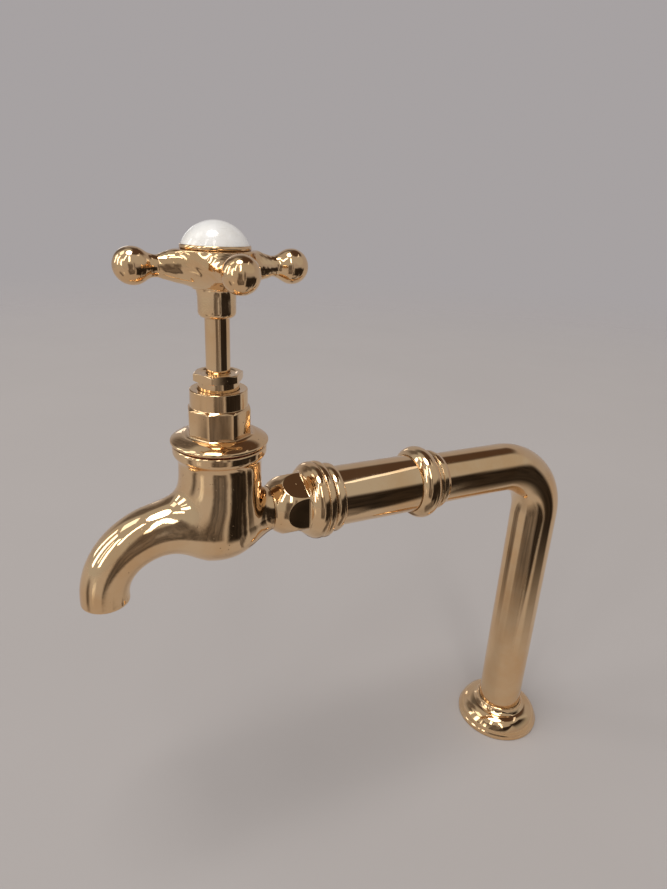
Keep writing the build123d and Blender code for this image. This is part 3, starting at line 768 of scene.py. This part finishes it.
def along_spout(ahead, height):
    """Distance in the middle plane from the spout's middle line, and the share at the
    nearest point: the nearest of 49 samples, then Newton's steps on the distance."""
    at = np.stack(np.broadcast_arrays(ahead, height), -1)
    shares = np.linspace(0, 1, 49)
    line = spout_line(shares)[0]
    t = shares[np.argmin(((at[..., None, :] - line) ** 2).sum(-1), -1)]
    for _ in range(4):
        place, slope, bend = spout_line(t)
        off = place - at
        steep = (slope**2).sum(-1)
        t = np.clip(t - (off * slope).sum(-1) / np.maximum(steep + (off * bend).sum(-1), 0.3 * steep), 0, 1)
    return np.hypot(*np.moveaxis(spout_line(t)[0] - at, -1, 0)), t


def uneven(x, y, z):
    """A casting's wander: slow waves in three slanting directions, multiplied in pairs."""
    a = np.sin(0.31 * x + 0.17 * y + 0.4) * np.sin(0.23 * z - 0.11 * y + 1.1)
    b = np.sin(0.47 * y - 0.21 * z + 2.0) * np.sin(0.39 * x + 0.33 * z)
    return (a + 0.7 * b) * mm(bpy.context.scene.tap_sizes.cast_wander)


def dressed(x, y, z):
    """What files leave on a small casting: shallow facets a few millimetres apart, from
    shorter waves in three directions, sharpened by their arctangent, and a second set about
    half as far apart and half as deep."""
    a = np.sin(1.05 * x + 0.43 * y + 0.6 * z) + np.sin(0.35 * x - 1.1 * y + 0.5 * z + 1.7)
    b = np.sin(0.8 * z + 0.9 * x - 0.5 * y + 0.9) * np.sin(1.0 * y + 0.7 * z + 2.6)
    c = np.sin(2.3 * x - 1.2 * y + 0.9 * z + 0.3) * np.sin(1.6 * y + 2.1 * z - 0.8 * x + 1.4)
    return (np.arctan(1.2 * (0.6 * a + b)) + 0.45 * c) * mm(bpy.context.scene.tap_sizes.file_marks)


def body_field(x, y, z):
    """How far a point is outside the tap body, in millimetres. The barrel is a ball and a
    cylinder with a round rim, the spout a tapering tube round its middle line, and the
    neck a cylinder along the arm, flowed together, more widely below; then the waterways
    are cut away."""
    sizes = bpy.context.scene.tap_sizes
    ahead, height = -y - REACH, z - ARM_HEIGHT
    radius = np.hypot(x, ahead)
    top = body_high[2] - ARM_HEIGHT
    ball = np.hypot(radius, height + BALL_DROP)
    barrel = np.where(height > -BALL_DROP, radius, ball) - BARREL
    off = np.abs(height - (top - 1.75)) - 0.6
    rim = np.hypot(np.maximum(radius - 15.05, 0), np.maximum(off, 0)) - 1.15
    rim = rim + np.minimum(np.maximum(radius - 15.05, off), 0)
    barrel = softer(barrel, rim, 5.0)
    flat, t = along_spout(ahead, np.maximum(height, SPOUT_END[1]))
    tube = np.hypot(x, flat)
    spout = tube - SPOUT_MOUTH - (SPOUT_ROOT - SPOUT_MOUTH) * (1 - t) ** 1.5
    neck = np.maximum(np.hypot(x, height) - NECK, ahead)
    flow = mm(sizes.blend_neck) * (1 + 0.8 * np.clip(-height / 8, 0, 1))
    solid = softer(softer(barrel, spout, mm(sizes.blend_spout)), neck, flow)
    solid = solid + uneven(x, y, z) * np.clip((top - 6 - height) / 6, 0, 1)
    solid = -softer(-solid, top - height, 0.5)
    solid = -softer(-solid, height - SPOUT_FACE, 1.1)
    solid = -softer(-solid, ahead - NECK_FACE, 0.8)
    lip = np.maximum(np.abs(radius - 7.2) - 1.0, np.abs(height - 7.9) - 0.8)
    chamber = np.maximum(np.maximum(radius - CHAMBER, 7.1 - height), -lip)
    well = np.maximum(radius - WELL, np.maximum(-8.0 - height, height - 9.0))
    waterway = np.hypot(x, height)
    inlet = np.maximum(waterway - INLET, ahead)
    socket = np.maximum(waterway - SOCKET, ahead + 11.7)
    pocket = np.maximum(np.maximum(radius - POCKET, 8.6 - ahead), np.abs(height) - 7.0)
    bore = tube - BORE
    hollow = np.minimum(np.minimum(chamber, well), np.minimum(inlet, socket))
    return cut_away(solid, np.minimum(hollow, np.minimum(pocket, bore)), 0.7)


def handle_field(x, y, z):
    """How far a point is outside the cross handle. The boss and the flared hub are turned,
    each arm is turned about its own level axis and ends in a ball, and they flow together;
    then the hub's recess, the square socket and the round mouth are cut away."""
    sizes = bpy.context.scene.tap_sizes
    low, high = handle_span
    y, height = y + REACH, z - low
    radius = np.hypot(x, y)
    top = high - low
    flare = bow(height, (9.7, 6.9), (13.82, 10.28), (18.9, 11.9))
    hub = np.maximum(0.85 * (radius - flare), 9.7 - height)
    foot = 4.25 + np.sqrt(np.maximum(2.0**2 - (np.clip(height, 0, 2.0) - 2.0) ** 2, 0.35))
    boss = np.maximum(radius - foot, height - 12.0)
    hub = np.minimum(hub, boss)

    def arm(away, beside):
        """One pair of arms: a radius that falls from the hub to the waist along an arc."""
        away = np.abs(away)
        rest = np.hypot(beside, height - ARMS_UP)
        waist = bow(away, (3.2, 6.6), (9.8, 5.7), (18.4, 3.35)) + 0.03 * np.maximum(away - 18.4, 0) ** 2
        neck = np.maximum(0.95 * (rest - waist), away - 23.0)
        ball = np.hypot(away - BALL_OUT, rest) - BALL
        return neck, ball

    neck_x, ball_x = arm(x, y)
    neck_y, ball_y = arm(y, x)
    core = softer(hub, softer(neck_x, neck_y, 2.5), mm(sizes.blend_arms))
    core = core + uneven(x, y, z) + dressed(x, y, z) * np.clip((height - 9.7) / 2, 0, 1)
    core = -softer(-core, top - height, 0.9)
    solid = softer(core, softer(ball_x, ball_y, 0.5) + 0.6 * uneven(y, z, x) + 0.3 * dressed(z, x, y), 2.2)
    solid = -softer(-solid, height, 0.4)
    recess = np.maximum(radius - 8.2, 13.7 - height)
    square = np.maximum(np.maximum(np.abs(x), np.abs(y)) - 2.95, 1.5 - height)
    mouth = np.maximum(radius - 4.15, height - 2.2)
    return cut_away(solid, np.minimum(np.minimum(recess, square), mouth), 0.3)


handle_span = (span("cross_handle")[0][2], span("index_ferrule")[1][2] - 1.5)


def level_surface(name, field, low, high, cell):
    """The surface where a field is nothing. Each cell of a cubic grid that the surface
    crosses gets one point, the mean of where its edges are crossed; cells that share a
    crossed edge are joined by a face; then each point is moved onto the surface by
    Newton's steps along the field's gradient, which also gives the normals."""
    axes = [np.arange(a, b + cell, cell) for a, b in zip(low, high)]
    x, y, z = np.meshgrid(*axes, indexing="ij", sparse=True)
    value = np.ascontiguousarray(np.broadcast_to(field(x, y, z), [len(a) for a in axes]), np.float32)
    shape = np.array(value.shape) - 1
    total = np.zeros((*shape, 3), np.float32)
    count = np.zeros(shape, np.float32)
    quads = []

    def window(array, start, size):
        return array[tuple(slice(s, s + n) for s, n in zip(start, size))]

    for axis in range(3):
        u, v = (axis + 1) % 3, (axis + 2) % 3
        size = np.array(value.shape)
        size[axis] -= 1
        step = np.zeros(3, int)
        step[axis] = 1
        near, far = window(value, (0, 0, 0), size), window(value, step, size)
        crossed = (near < 0) != (far < 0)
        where = np.argwhere(crossed)
        a, b = near[crossed], far[crossed]
        point = where.astype(np.float32)
        point[:, axis] += a / (a - b)
        inner = np.all((where[:, [u, v]] > 0) & (where[:, [u, v]] < shape[[u, v]]), 1)
        where, point, solid = where[inner], point[inner], (a < 0)[inner]
        cells = []
        for du, dv in ((1, 1), (0, 1), (0, 0), (1, 0)):
            beside = where.copy()
            beside[:, u] -= du
            beside[:, v] -= dv
            index = np.ravel_multi_index(beside.T, shape)
            np.add.at(total.reshape(-1, 3), index, point)
            np.add.at(count.reshape(-1), index, 1)
            cells.append(index)
        face = np.stack(cells, 1)
        quads.append(np.where(solid[:, None], face, face[:, ::-1]))
    quads = np.concatenate(quads)
    used = count.reshape(-1) > 0
    points = total.reshape(-1, 3)[used] / count.reshape(-1)[used, None]
    points = np.array([a[0] for a in axes]) + points.astype(float) * cell
    quads = (np.cumsum(used) - 1)[quads]

    def slope(at, reach=0.02):
        """The field's gradient, from its change over a short way each side."""
        sides = [field(*(at + reach * e).T) - field(*(at - reach * e).T) for e in np.eye(3)]
        return np.stack(sides, 1) / (2 * reach)

    for _ in range(4):
        gradient = slope(points)
        push = field(*points.T)[:, None] * gradient / np.maximum((gradient**2).sum(1), 0.25)[:, None]
        points -= np.clip(push, -0.5 * cell, 0.5 * cell)
    gradient = slope(points, 0.05)
    normals = gradient / np.maximum(np.linalg.norm(gradient, axis=1), 1e-9)[:, None]
    return put_mesh(name, points, quads, normals=normals)


class TAP_OT_body(bpy.types.Operator):
    """Casts the tap body: barrel, spout and inlet neck flowed together"""

    bl_idname = "tap.body"
    bl_label = "Tap body"

    def execute(self, context):
        body = level_surface("body_casting", body_field, body_low - 1.3, body_high + 1.3, 0.44)
        finish_piece(body, "foundry_brass", "tap", "cast_brass", "tap_body")
        return {"FINISHED"}


class TAP_OT_bonnet(bpy.types.Operator):
    """Turns the bonnet with its octagon, and the gland's hexagon above it"""

    bl_idname = "tap.bonnet"
    bl_label = "Bonnet and gland"

    def execute(self, context):
        low, high = span("bonnet")
        outer, top = high[0], high[2]
        seat = low[2] + 8.6
        foot, shoulder = seat + 3.7, seat + 12.5

        def spanner(radius, angle, along):
            milled = (along > foot - 0.25) & (along < shoulder + 0.9) & (radius > 9.6)
            cut = flats(radius, angle, 20.8, 8, 11.2, 0.45, 0.16)
            return np.where(milled, cut, wander(radius, angle, along))

        profile = outline(
            (9.9, low[2], 0.3), (11.9, low[2], 0.5), (11.9, seat, 0.2), (outer - 0.7, seat, 0.3),
            arc((outer - 0.2, seat + 0.3), (outer, seat + 0.9), (outer - 0.4, seat + 1.5), 13),
            arc((outer - 0.7, seat + 1.75), (14.2, seat + 2.9), (11.5, foot + 0.1), 21),
            (11.25, foot + 0.25, 0.25), (11.25, shoulder, 0.3), (9.95, shoulder + 0.95, 0.2),
            (9.9, top - 0.3, 0.22), (9.55, top - 0.05, 0.2), (7.15, top - 0.25, 0.3), (7.15, top - 7.8),
            (4.18, top - 7.8), (4.18, top - 9.0), (5.48, top - 9.0), (5.48, low[2] + 4.0),
            (9.9, low[2] + 4.0), longest=0.7,
        )
        turn_piece(
            "headpiece", "bonnet", "worn_brass", "polished_brass",
            profile, on_spindle, spanner, around=320,
        )

        low, high = span("gland_nut")
        top = high[2]
        base = top - 2.75

        def hexagon(radius, angle, along):
            milled = (along > base - 0.1) & (radius > 7.12)
            return np.where(milled, flats(radius, angle, 15.1, 6, 29.4, 0.15, 0.08), radius)

        profile = outline(
            (4.18, low[2], 0.2), (7.05, low[2], 0.3), (7.05, base, 0.1), (8.1, base, 0.1),
            (8.8, base + 0.3, 0.15), (8.8, top - 0.42, 0.15), (7.75, top, 0.2), (6.5, top - 0.05, 0.5),
            arc((6.1, top - 0.25), (5.5, top - 0.55), (4.7, top - 0.5), 9), (4.18, top - 0.35, 0.15),
            longest=0.4,
        )
        turn_piece(
            "gland_hexagon", "gland_nut", "worn_brass", "polished_brass",
            profile, on_spindle, hexagon, around=240,
        )
        return {"FINISHED"}


class TAP_OT_stem(bpy.types.Operator):
    """Turns the rising spindle, with its screw below and its square above"""

    bl_idname = "tap.stem"
    bl_label = "Spindle"

    def execute(self, context):
        low, high = stem_low[2], stem_high[2]

        def cut(radius, angle, along):
            screw = threaded(radius, angle, along, SCREW_PITCH, 1.0, low + 0.5, low + 17.0)
            squared = flats(radius, angle, 5.8, 4, 45.0, 0.2)
            radius = np.where((radius > 4.6) & (along < low + 17), screw, wander(radius, angle, along))
            return np.where((along > high - 11.0) & (radius > 2.6), squared, radius)

        profile = outline(
            (0.0, low + 9.0), (2.98, low + 9.0), (2.98, low, 0.2), (5.4, low, 0.5),
            (5.4, low + 15.9, 0.5), (4.1, low + 16.4, 0.2), (4.1, high - 11.05), (4.1, high - 10.9),
            (4.1, high, 0.3), (2.05, high, 0.2), (2.05, high - 9.0), (0.0, high - 9.0), closed=False,
            longest=0.5,
        )
        turn_piece(
            "stem", "spindle", "lathe_brass", "turned_brass",
            profile, on_spindle, cut, around=128, closed=False, body="handle",
        )
        return {"FINISHED"}


class TAP_OT_handle(bpy.types.Operator):
    """Casts the cross handle: boss, hub and four ball-ended arms flowed together"""

    bl_idname = "tap.handle"
    bl_label = "Cross handle"

    def execute(self, context):
        low, high = span("cross_handle")
        handle = level_surface("cross_casting", handle_field, low - 0.9, high + 0.9, 0.3)
        finish_piece(handle, "filed_brass", "handle", "cast_brass", "cross_handle")
        return {"FINISHED"}


class TAP_OT_index(bpy.types.Operator):
    """Turns the ferrule and the glazed china dome that it holds"""

    bl_idname = "tap.index"
    bl_label = "China index"

    def execute(self, context):
        low, high = span("index_ferrule")
        outer, top = high[0], high[2]
        hub = top - 1.5
        profile = outline(
            (6.8, low[2], 0.2), (8.1, low[2], 0.2), (8.1, hub), (outer - 0.5, hub, 0.2),
            arc((outer - 0.15, hub + 0.2), (outer, hub + 0.75), (outer - 0.2, top - 0.1), 9),
            (outer - 0.42, top, 0.08), (outer - 0.5, hub + 1.0), (6.8, hub + 1.0), longest=0.6,
        )
        turn_piece(
            "ferrule", "index_ferrule", "lathe_brass", "polished_brass",
            profile, on_spindle, wander, around=192, body="handle",
        )

        low, high = span("china_index")
        rim, crown = high[0], high[2]
        rise = 7.3
        edge = crown - rise
        ball = (rim**2 + rise**2) / (2 * rise)
        lean = 0.5 * np.arcsin(rim / ball)
        middle = (ball * sin(lean), crown - ball * (1 - cos(lean)))
        profile = outline(
            (0.0, low[2]), (6.7, low[2], 0.4), (6.7, edge - 0.5), (rim, edge - 0.5, 0.15),
            arc((rim, edge), middle, (0.0, crown), 61), closed=False, longest=0.5,
        )
        turn_piece(
            "china_dome", "china_index", "glazed_china", "white_china",
            profile, on_spindle, around=160, closed=False, body="handle",
        )
        return {"FINISHED"}


class TAP_OT_hidden_parts(bpy.types.Operator):
    """Gives the frame's own hidden pieces their materials"""

    bl_idname = "tap.hidden_parts"
    bl_label = "Hidden pieces"

    def execute(self, context):
        finishes = {
            "bench_brass": (
                "union_tail", "gland_ring", "jumper", "washer_nut", "handle_washer", "handle_screw"
            ),
            "worn_rubber": ("base_gasket", "tap_washer"),
            "vulcan_fibre": ("union_washer", "bonnet_washer"),
            "greased_cord": ("gland_packing",),
        }
        for material, nodes in finishes.items():
            for node in nodes:
                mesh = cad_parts[node].data
                for place in range(len(mesh.materials)):
                    mesh.materials[place] = bpy.data.materials[material]
        shown = {node for nodes in finishes.values() for node in nodes}
        missed = [n for n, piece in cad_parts.items() if not piece.hide_render and n not in shown]
        if missed:
            raise RuntimeError(f"no finish for {missed}")
        return {"FINISHED"}


def direction(azimuth, elevation):
    """The way from the middle of the scene to a place round it: azimuth 0 is the -Y side
    and 90 the +X side, elevation is above level."""
    a, e = radians(azimuth), radians(elevation)
    return Vector((sin(a) * cos(e), -cos(a) * cos(e), sin(e)))


def hang(name, lamp, place, target):
    """A lamp at a place, whose -Z points at the target and whose Y is up."""
    holder = bpy.data.objects.new(name, lamp)
    holder.location = place
    holder.rotation_mode = "QUATERNION"
    holder.rotation_quaternion = (Vector(target) - Vector(place)).to_track_quat("-Z", "Y")
    bpy.context.scene.collection.objects.link(holder)
    return holder


# the photograph's camera: its place in metres, its azimuth, angle down and roll in degrees,
# its lens in pixels, and the picture's longer side
CAMERA_PLACE = (0.196489, -0.213690, 0.264400)
CAMERA_AZIMUTH, CAMERA_DOWN, CAMERA_ROLL = 62.953, 21.223, 2.892
LENS_PIXELS, PICTURE_LENGTH = 608.204, 889

# each pane's name, left and right azimuth, low and high elevation, and strength
WINDOWS = [
    ("pane_1", -37, -29, 6, 36, 1.4),
    ("pane_2", -15, -4, 2, 40, 1.4),
    ("pane_3", 6, 9, 8, 34, 1.0),
    ("pane_4", 16, 24, 4, 38, 1.5),
    ("pane_5", 30, 37, 28, 60, 1.9),
    ("pane_6", 63, 73, 28, 60, 1.9),
    ("pane_7", -38, -12, 44, 60, 0.7),
    ("pane_8", -96, -89, 3, 14, 0.6),
    ("pane_9", 140, 184, 57, 60, 0.5),
]

# soft patches of the walls: azimuth, elevation, where it fades from and to, and whether it
# is pale or brown
PATCHES = [
    (135, 40, 36, 22, "pale"),
    (0, 30, 66, 30, "pale"),
    (70, 84, 36, 18, "pale"),
    (-37, 66, 30, 14, "pale"),
    (50, 40, 55, 30, "pale"),
    (-150, 58, 26, 15, "brown"),
    (168, 76, 20, 12, "brown"),
]


def pane(name, left, right, low, high, radiance, tint):
    """A rectangular lamp six metres away that the camera doesn't see. Its sides are twice
    its distance by the tangent of half its angle, and its power is its radiance times its
    area times pi."""
    away = 6.0
    lamp = bpy.data.lights.new(name, "AREA")
    lamp.shape = "RECTANGLE"
    lamp.size = 2 * away * tan(radians(right - left) / 2) * cos(radians(low + high) / 2)
    lamp.size_y = 2 * away * tan(radians(high - low) / 2)
    lamp.energy, lamp.color = radiance * pi * lamp.size * lamp.size_y, tint
    target = Vector((0, -0.1, 0.17))
    place = target + direction((left + right) / 2, (low + high) / 2) * away
    hang(name, lamp, place, target).visible_camera = False


# each screen's material, its middle, left and right azimuth, low and high edge, radius at
# its foot and its head, and the share of its size over which its sides, its foot and its
# head fade, in millimetres and degrees
SCREENS = [
    ("brown_screen", 0.0, -158.5, 50, 96, 0, 180, 200, 290, 0.20, 0.20, 0.35),
    ("black_screen", 0.0, -158.5, 96, 152, 0, 262, 150, 330, 0.16, 0.16, 0.26),
    ("brown_screen", 0.0, -158.5, 54, 84, 110, 350, 270, 270, 0.25, 0.20, 0.30),
    ("brown_screen", 0.0, -158.5, 88, 99, 110, 400, 280, 280, 0.30, 0.30, 0.30),
    ("brown_screen", 0.0, -158.5, -12, 12, 0, 130, 200, 285, 0.50, 0.30, 0.40),
    ("pale_screen", 0.0, -158.5, 14, 32, 10, 130, 230, 280, 0.50, 0.40, 0.40),
    ("pale_screen", 0.0, -158.5, 106, 130, 122, 130, 250, 250, 0.20, 0.40, 0.40),
    ("brown_screen", 0.0, -158.5, -88, -50, 220, 1700, 950, 950, 0.30, 0.30, 0.30),
    ("black_screen", 0.0, 0.0, 92, 156, 0, 235, 52, 192, 0.24, 0.34, 0.25),
    ("brown_screen", 0.0, 0.0, 6, 72, 0, 96, 62, 128, 0.16, 0.60, 0.12),
    ("brown_screen", 0.0, 0.0, -62, -20, 0, 90, 70, 128, 0.25, 0.60, 0.12),
]


def screen_material(name, tone):
    """A glowing card with upright streaks, and clear where its cover attribute is nothing."""
    s = Shader(name)
    tall = s.make("ShaderNodeMapping", {"Vector": s.place, "Scale": (1, 1, 0.12)}).outputs[0]
    streak = s.fit(s.noise(0.045, 3.0, 0.6, tall), 0.36, 0.64)
    card = s.make("ShaderNodeEmission", {"Color": s.mix(streak, tone, tuple(0.45 * c for c in tone))})
    clear = s.make("ShaderNodeBsdfTransparent")
    cover = s.make("ShaderNodeAttribute", attribute_name="cover", attribute_type="GEOMETRY")
    inputs = {0: cover.outputs["Fac"], 1: clear.outputs[0], 2: card.outputs[0]}
    s.tree.links.new(s.make("ShaderNodeMixShader", inputs).outputs[0], s.output.inputs[0])


def screen(number, material, x0, y0, left, right, low, high, near, away, side, foot, head):
    """A bent screen for the metal to reflect, part of an upright cone. The camera doesn't
    see it, it throws no shadow, and it lights nothing that is matt. How much it covers falls
    to nothing at its edges by a smooth step, three times the square less twice the cube."""
    columns, rows = 49, 25
    across, up = np.linspace(0, 1, columns)[:, None], np.linspace(0, 1, rows)[None, :]
    angle = np.radians(left + (right - left) * across)
    radius = near + (away - near) * up
    x, y = x0 + radius * np.sin(angle), y0 - radius * np.cos(angle)
    points = rows_of(x, y, low + (high - low) * up)

    def step(value):
        value = np.clip(value, 0, 1)
        return value**2 * (3 - 2 * value)

    cover = step(np.minimum(across, 1 - across) / side) * step(up / foot) * step((1 - up) / head)
    corner = (np.arange(columns - 1)[:, None] * rows + np.arange(rows - 1)).ravel()
    faces = np.stack([corner, corner + 1, corner + rows + 1, corner + rows], 1)
    mesh = bpy.data.meshes.new(f"screen_{number}")
    mesh.from_pydata((points / 1000).tolist(), [], faces.tolist())
    values = mesh.attributes.new("cover", "FLOAT", "POINT").data
    values.foreach_set("value", cover.astype(np.float32).ravel())
    mesh.materials.append(bpy.data.materials[material])
    piece = bpy.data.objects.new(mesh.name, mesh)
    piece.visible_camera = piece.visible_shadow = piece.visible_diffuse = False
    bpy.context.scene.collection.objects.link(piece)


class TAP_OT_stage(bpy.types.Operator):
    """Lays the pale floor, sets the light and puts the camera where the photograph's was"""

    bl_idname = "tap.stage"
    bl_label = "Stage"

    def execute(self, context):
        stage = context.scene.tap_stage
        self.lay_floor(stage)
        self.light(context, stage)
        self.camera(context)
        context.scene.view_settings.view_transform = "Standard"
        return {"FINISHED"}

    def lay_floor(self, stage):
        """A round floor: rings whose radius grows by a constant factor. It fades into the
        background before it ends, so no horizon shows."""
        s = Shader("pale_floor")
        away = s.make("ShaderNodeVectorMath", {0: s.place}, operation="LENGTH").outputs["Value"]
        near = s.fit(away, 450.0, 2400.0, 1.0, 0.0, "SMOOTHSTEP")
        tone = s.mix(s.fit(s.noise(0.004, 3.0), 0.3, 0.7), stage.floor, tuple(0.97 * c for c in stage.floor))
        wear = s.fit(s.noise(0.02, 2.0), 0.3, 0.7, 0.75, 0.85)
        s.surface(Base_Color=tone, Roughness=wear, Specular_IOR_Level=0.1, Alpha=near)
        rings, around = 24, 96
        ring = np.concatenate([[0], np.geomspace(0.05, 2.6, rings) * 1000])[:, None]
        angle = 2 * pi * np.arange(around)[None, :] / around
        x, y = ring * np.cos(angle), ring * np.sin(angle) - 100
        floor = put_mesh("floor", rows_of(x, y, 0), grid_quads(rings + 1, around, False), [slice(0, around)])
        if floor.data.polygons[0].normal.z < 0:
            floor.data.flip_normals()
        floor.data.materials.append(bpy.data.materials["pale_floor"])

    def light(self, context, stage):
        """The height of a ray carries the surroundings' colour from the pale background to
        the dim ceiling, and soft patches are mixed in round their own directions. Lamps add
        the window panes and the light from above."""
        s = Shader("studio", "world")
        height = s.make("ShaderNodeSeparateXYZ", {0: s.source.outputs["Generated"]}).outputs["Z"]
        ramp = s.make("ShaderNodeValToRGB", {"Fac": height})
        wall = ramp.color_ramp
        wall.interpolation = "EASE"
        wall.elements[0].position, wall.elements[1].position = 0.56, 0.76
        wall.elements[0].color = (*stage.sky, 1)
        wall.elements[1].color = (*stage.ceiling, 1)
        tone = ramp.outputs[0]
        colours = {"pale": stage.glow, "brown": stage.wall}
        for azimuth, elevation, outer, inner, kind in PATCHES:
            towards = {0: s.source.outputs["Generated"], 1: direction(azimuth, elevation)}
            near = s.make("ShaderNodeVectorMath", towards, operation="DOT_PRODUCT").outputs["Value"]
            inside = s.fit(near, cos(radians(outer)), cos(radians(inner)), way="SMOOTHSTEP")
            tone = s.mix(inside, tone, colours[kind])
        background = s.make("ShaderNodeBackground", {"Color": tone})
        s.tree.links.new(background.outputs[0], s.output.inputs["Surface"])
        context.scene.world = s.made
        for name, left, right, low, high, strength in WINDOWS:
            pane(name, left, right, low, high, strength * stage.key, stage.daylight)
        lamp = bpy.data.lights.new("skylight", "SUN")
        lamp.energy, lamp.angle, lamp.color = stage.skylight, radians(26), stage.daylight
        hang("skylight", lamp, direction(30, 80) * 3, (0, 0, 0))
        for tone in ("black", "brown", "pale"):
            screen_material(f"{tone}_screen", getattr(stage, tone))
        for number, values in enumerate(SCREENS):
            screen(number + 1, *values)

    def camera(self, context):
        """The photograph's camera. Its sides are turned about its own axis by the roll."""
        view = bpy.data.cameras.new("camera")
        view.sensor_width = 36.0
        view.lens = view.sensor_width * LENS_PIXELS / PICTURE_LENGTH
        view.clip_start, view.clip_end = 0.01, 50
        azimuth, roll = radians(CAMERA_AZIMUTH), radians(CAMERA_ROLL)
        back = direction(CAMERA_AZIMUTH, CAMERA_DOWN)
        right = Vector((cos(azimuth), sin(azimuth), 0))
        up = back.cross(right)
        side, head = cos(roll) * right + sin(roll) * up, cos(roll) * up - sin(roll) * right
        turn = Matrix((side, head, back)).transposed().to_4x4()
        holder = bpy.data.objects.new("camera", view)
        holder.matrix_world = Matrix.Translation(CAMERA_PLACE) @ turn
        context.scene.collection.objects.link(holder)
        context.scene.camera = holder


steps = [
    TAP_OT_finishes,
    TAP_OT_stand_pipe,
    TAP_OT_foot,
    TAP_OT_clamp,
    TAP_OT_arm,
    TAP_OT_union_nut,
    TAP_OT_body,
    TAP_OT_bonnet,
    TAP_OT_stem,
    TAP_OT_handle,
    TAP_OT_index,
    TAP_OT_hidden_parts,
    TAP_OT_stage,
]


class TAP_PT_sidebar(bpy.types.Panel):
    """Lists the tap's sizes, finishes and steps in the 3D view's sidebar"""

    bl_idname = "TAP_PT_sidebar"
    bl_label = "Bib tap"
    bl_space_type = "VIEW_3D"
    bl_region_type = "UI"
    bl_category = "Bib tap"

    def draw(self, context):
        for group in ("tap_sizes", "tap_finish", "tap_stage"):
            box = self.layout.box()
            settings = getattr(context.scene, group)
            for name in settings.__annotations__:
                box.prop(settings, name)
        for step in steps:
            self.layout.operator(step.bl_idname)


groups = {"tap_sizes": TapSizes, "tap_finish": TapFinish, "tap_stage": TapStage}


def register():
    """Registers the classes and hangs the settings on the scene."""
    for made in (*groups.values(), *steps, TAP_PT_sidebar):
        bpy.utils.register_class(made)
    for name, group in groups.items():
        setattr(bpy.types.Scene, name, PointerProperty(type=group))


def unregister():
    """Takes the settings and the classes away again."""
    for name in groups:
        delattr(bpy.types.Scene, name)
    for made in (TAP_PT_sidebar, *reversed(steps), *groups.values()):
        bpy.utils.unregister_class(made)


def main():
    """Builds everything in order."""
    register()
    for step in steps:
        group, name = step.bl_idname.split(".")
        getattr(getattr(bpy.ops, group), name)()


if __name__ == "__main__":
    main()
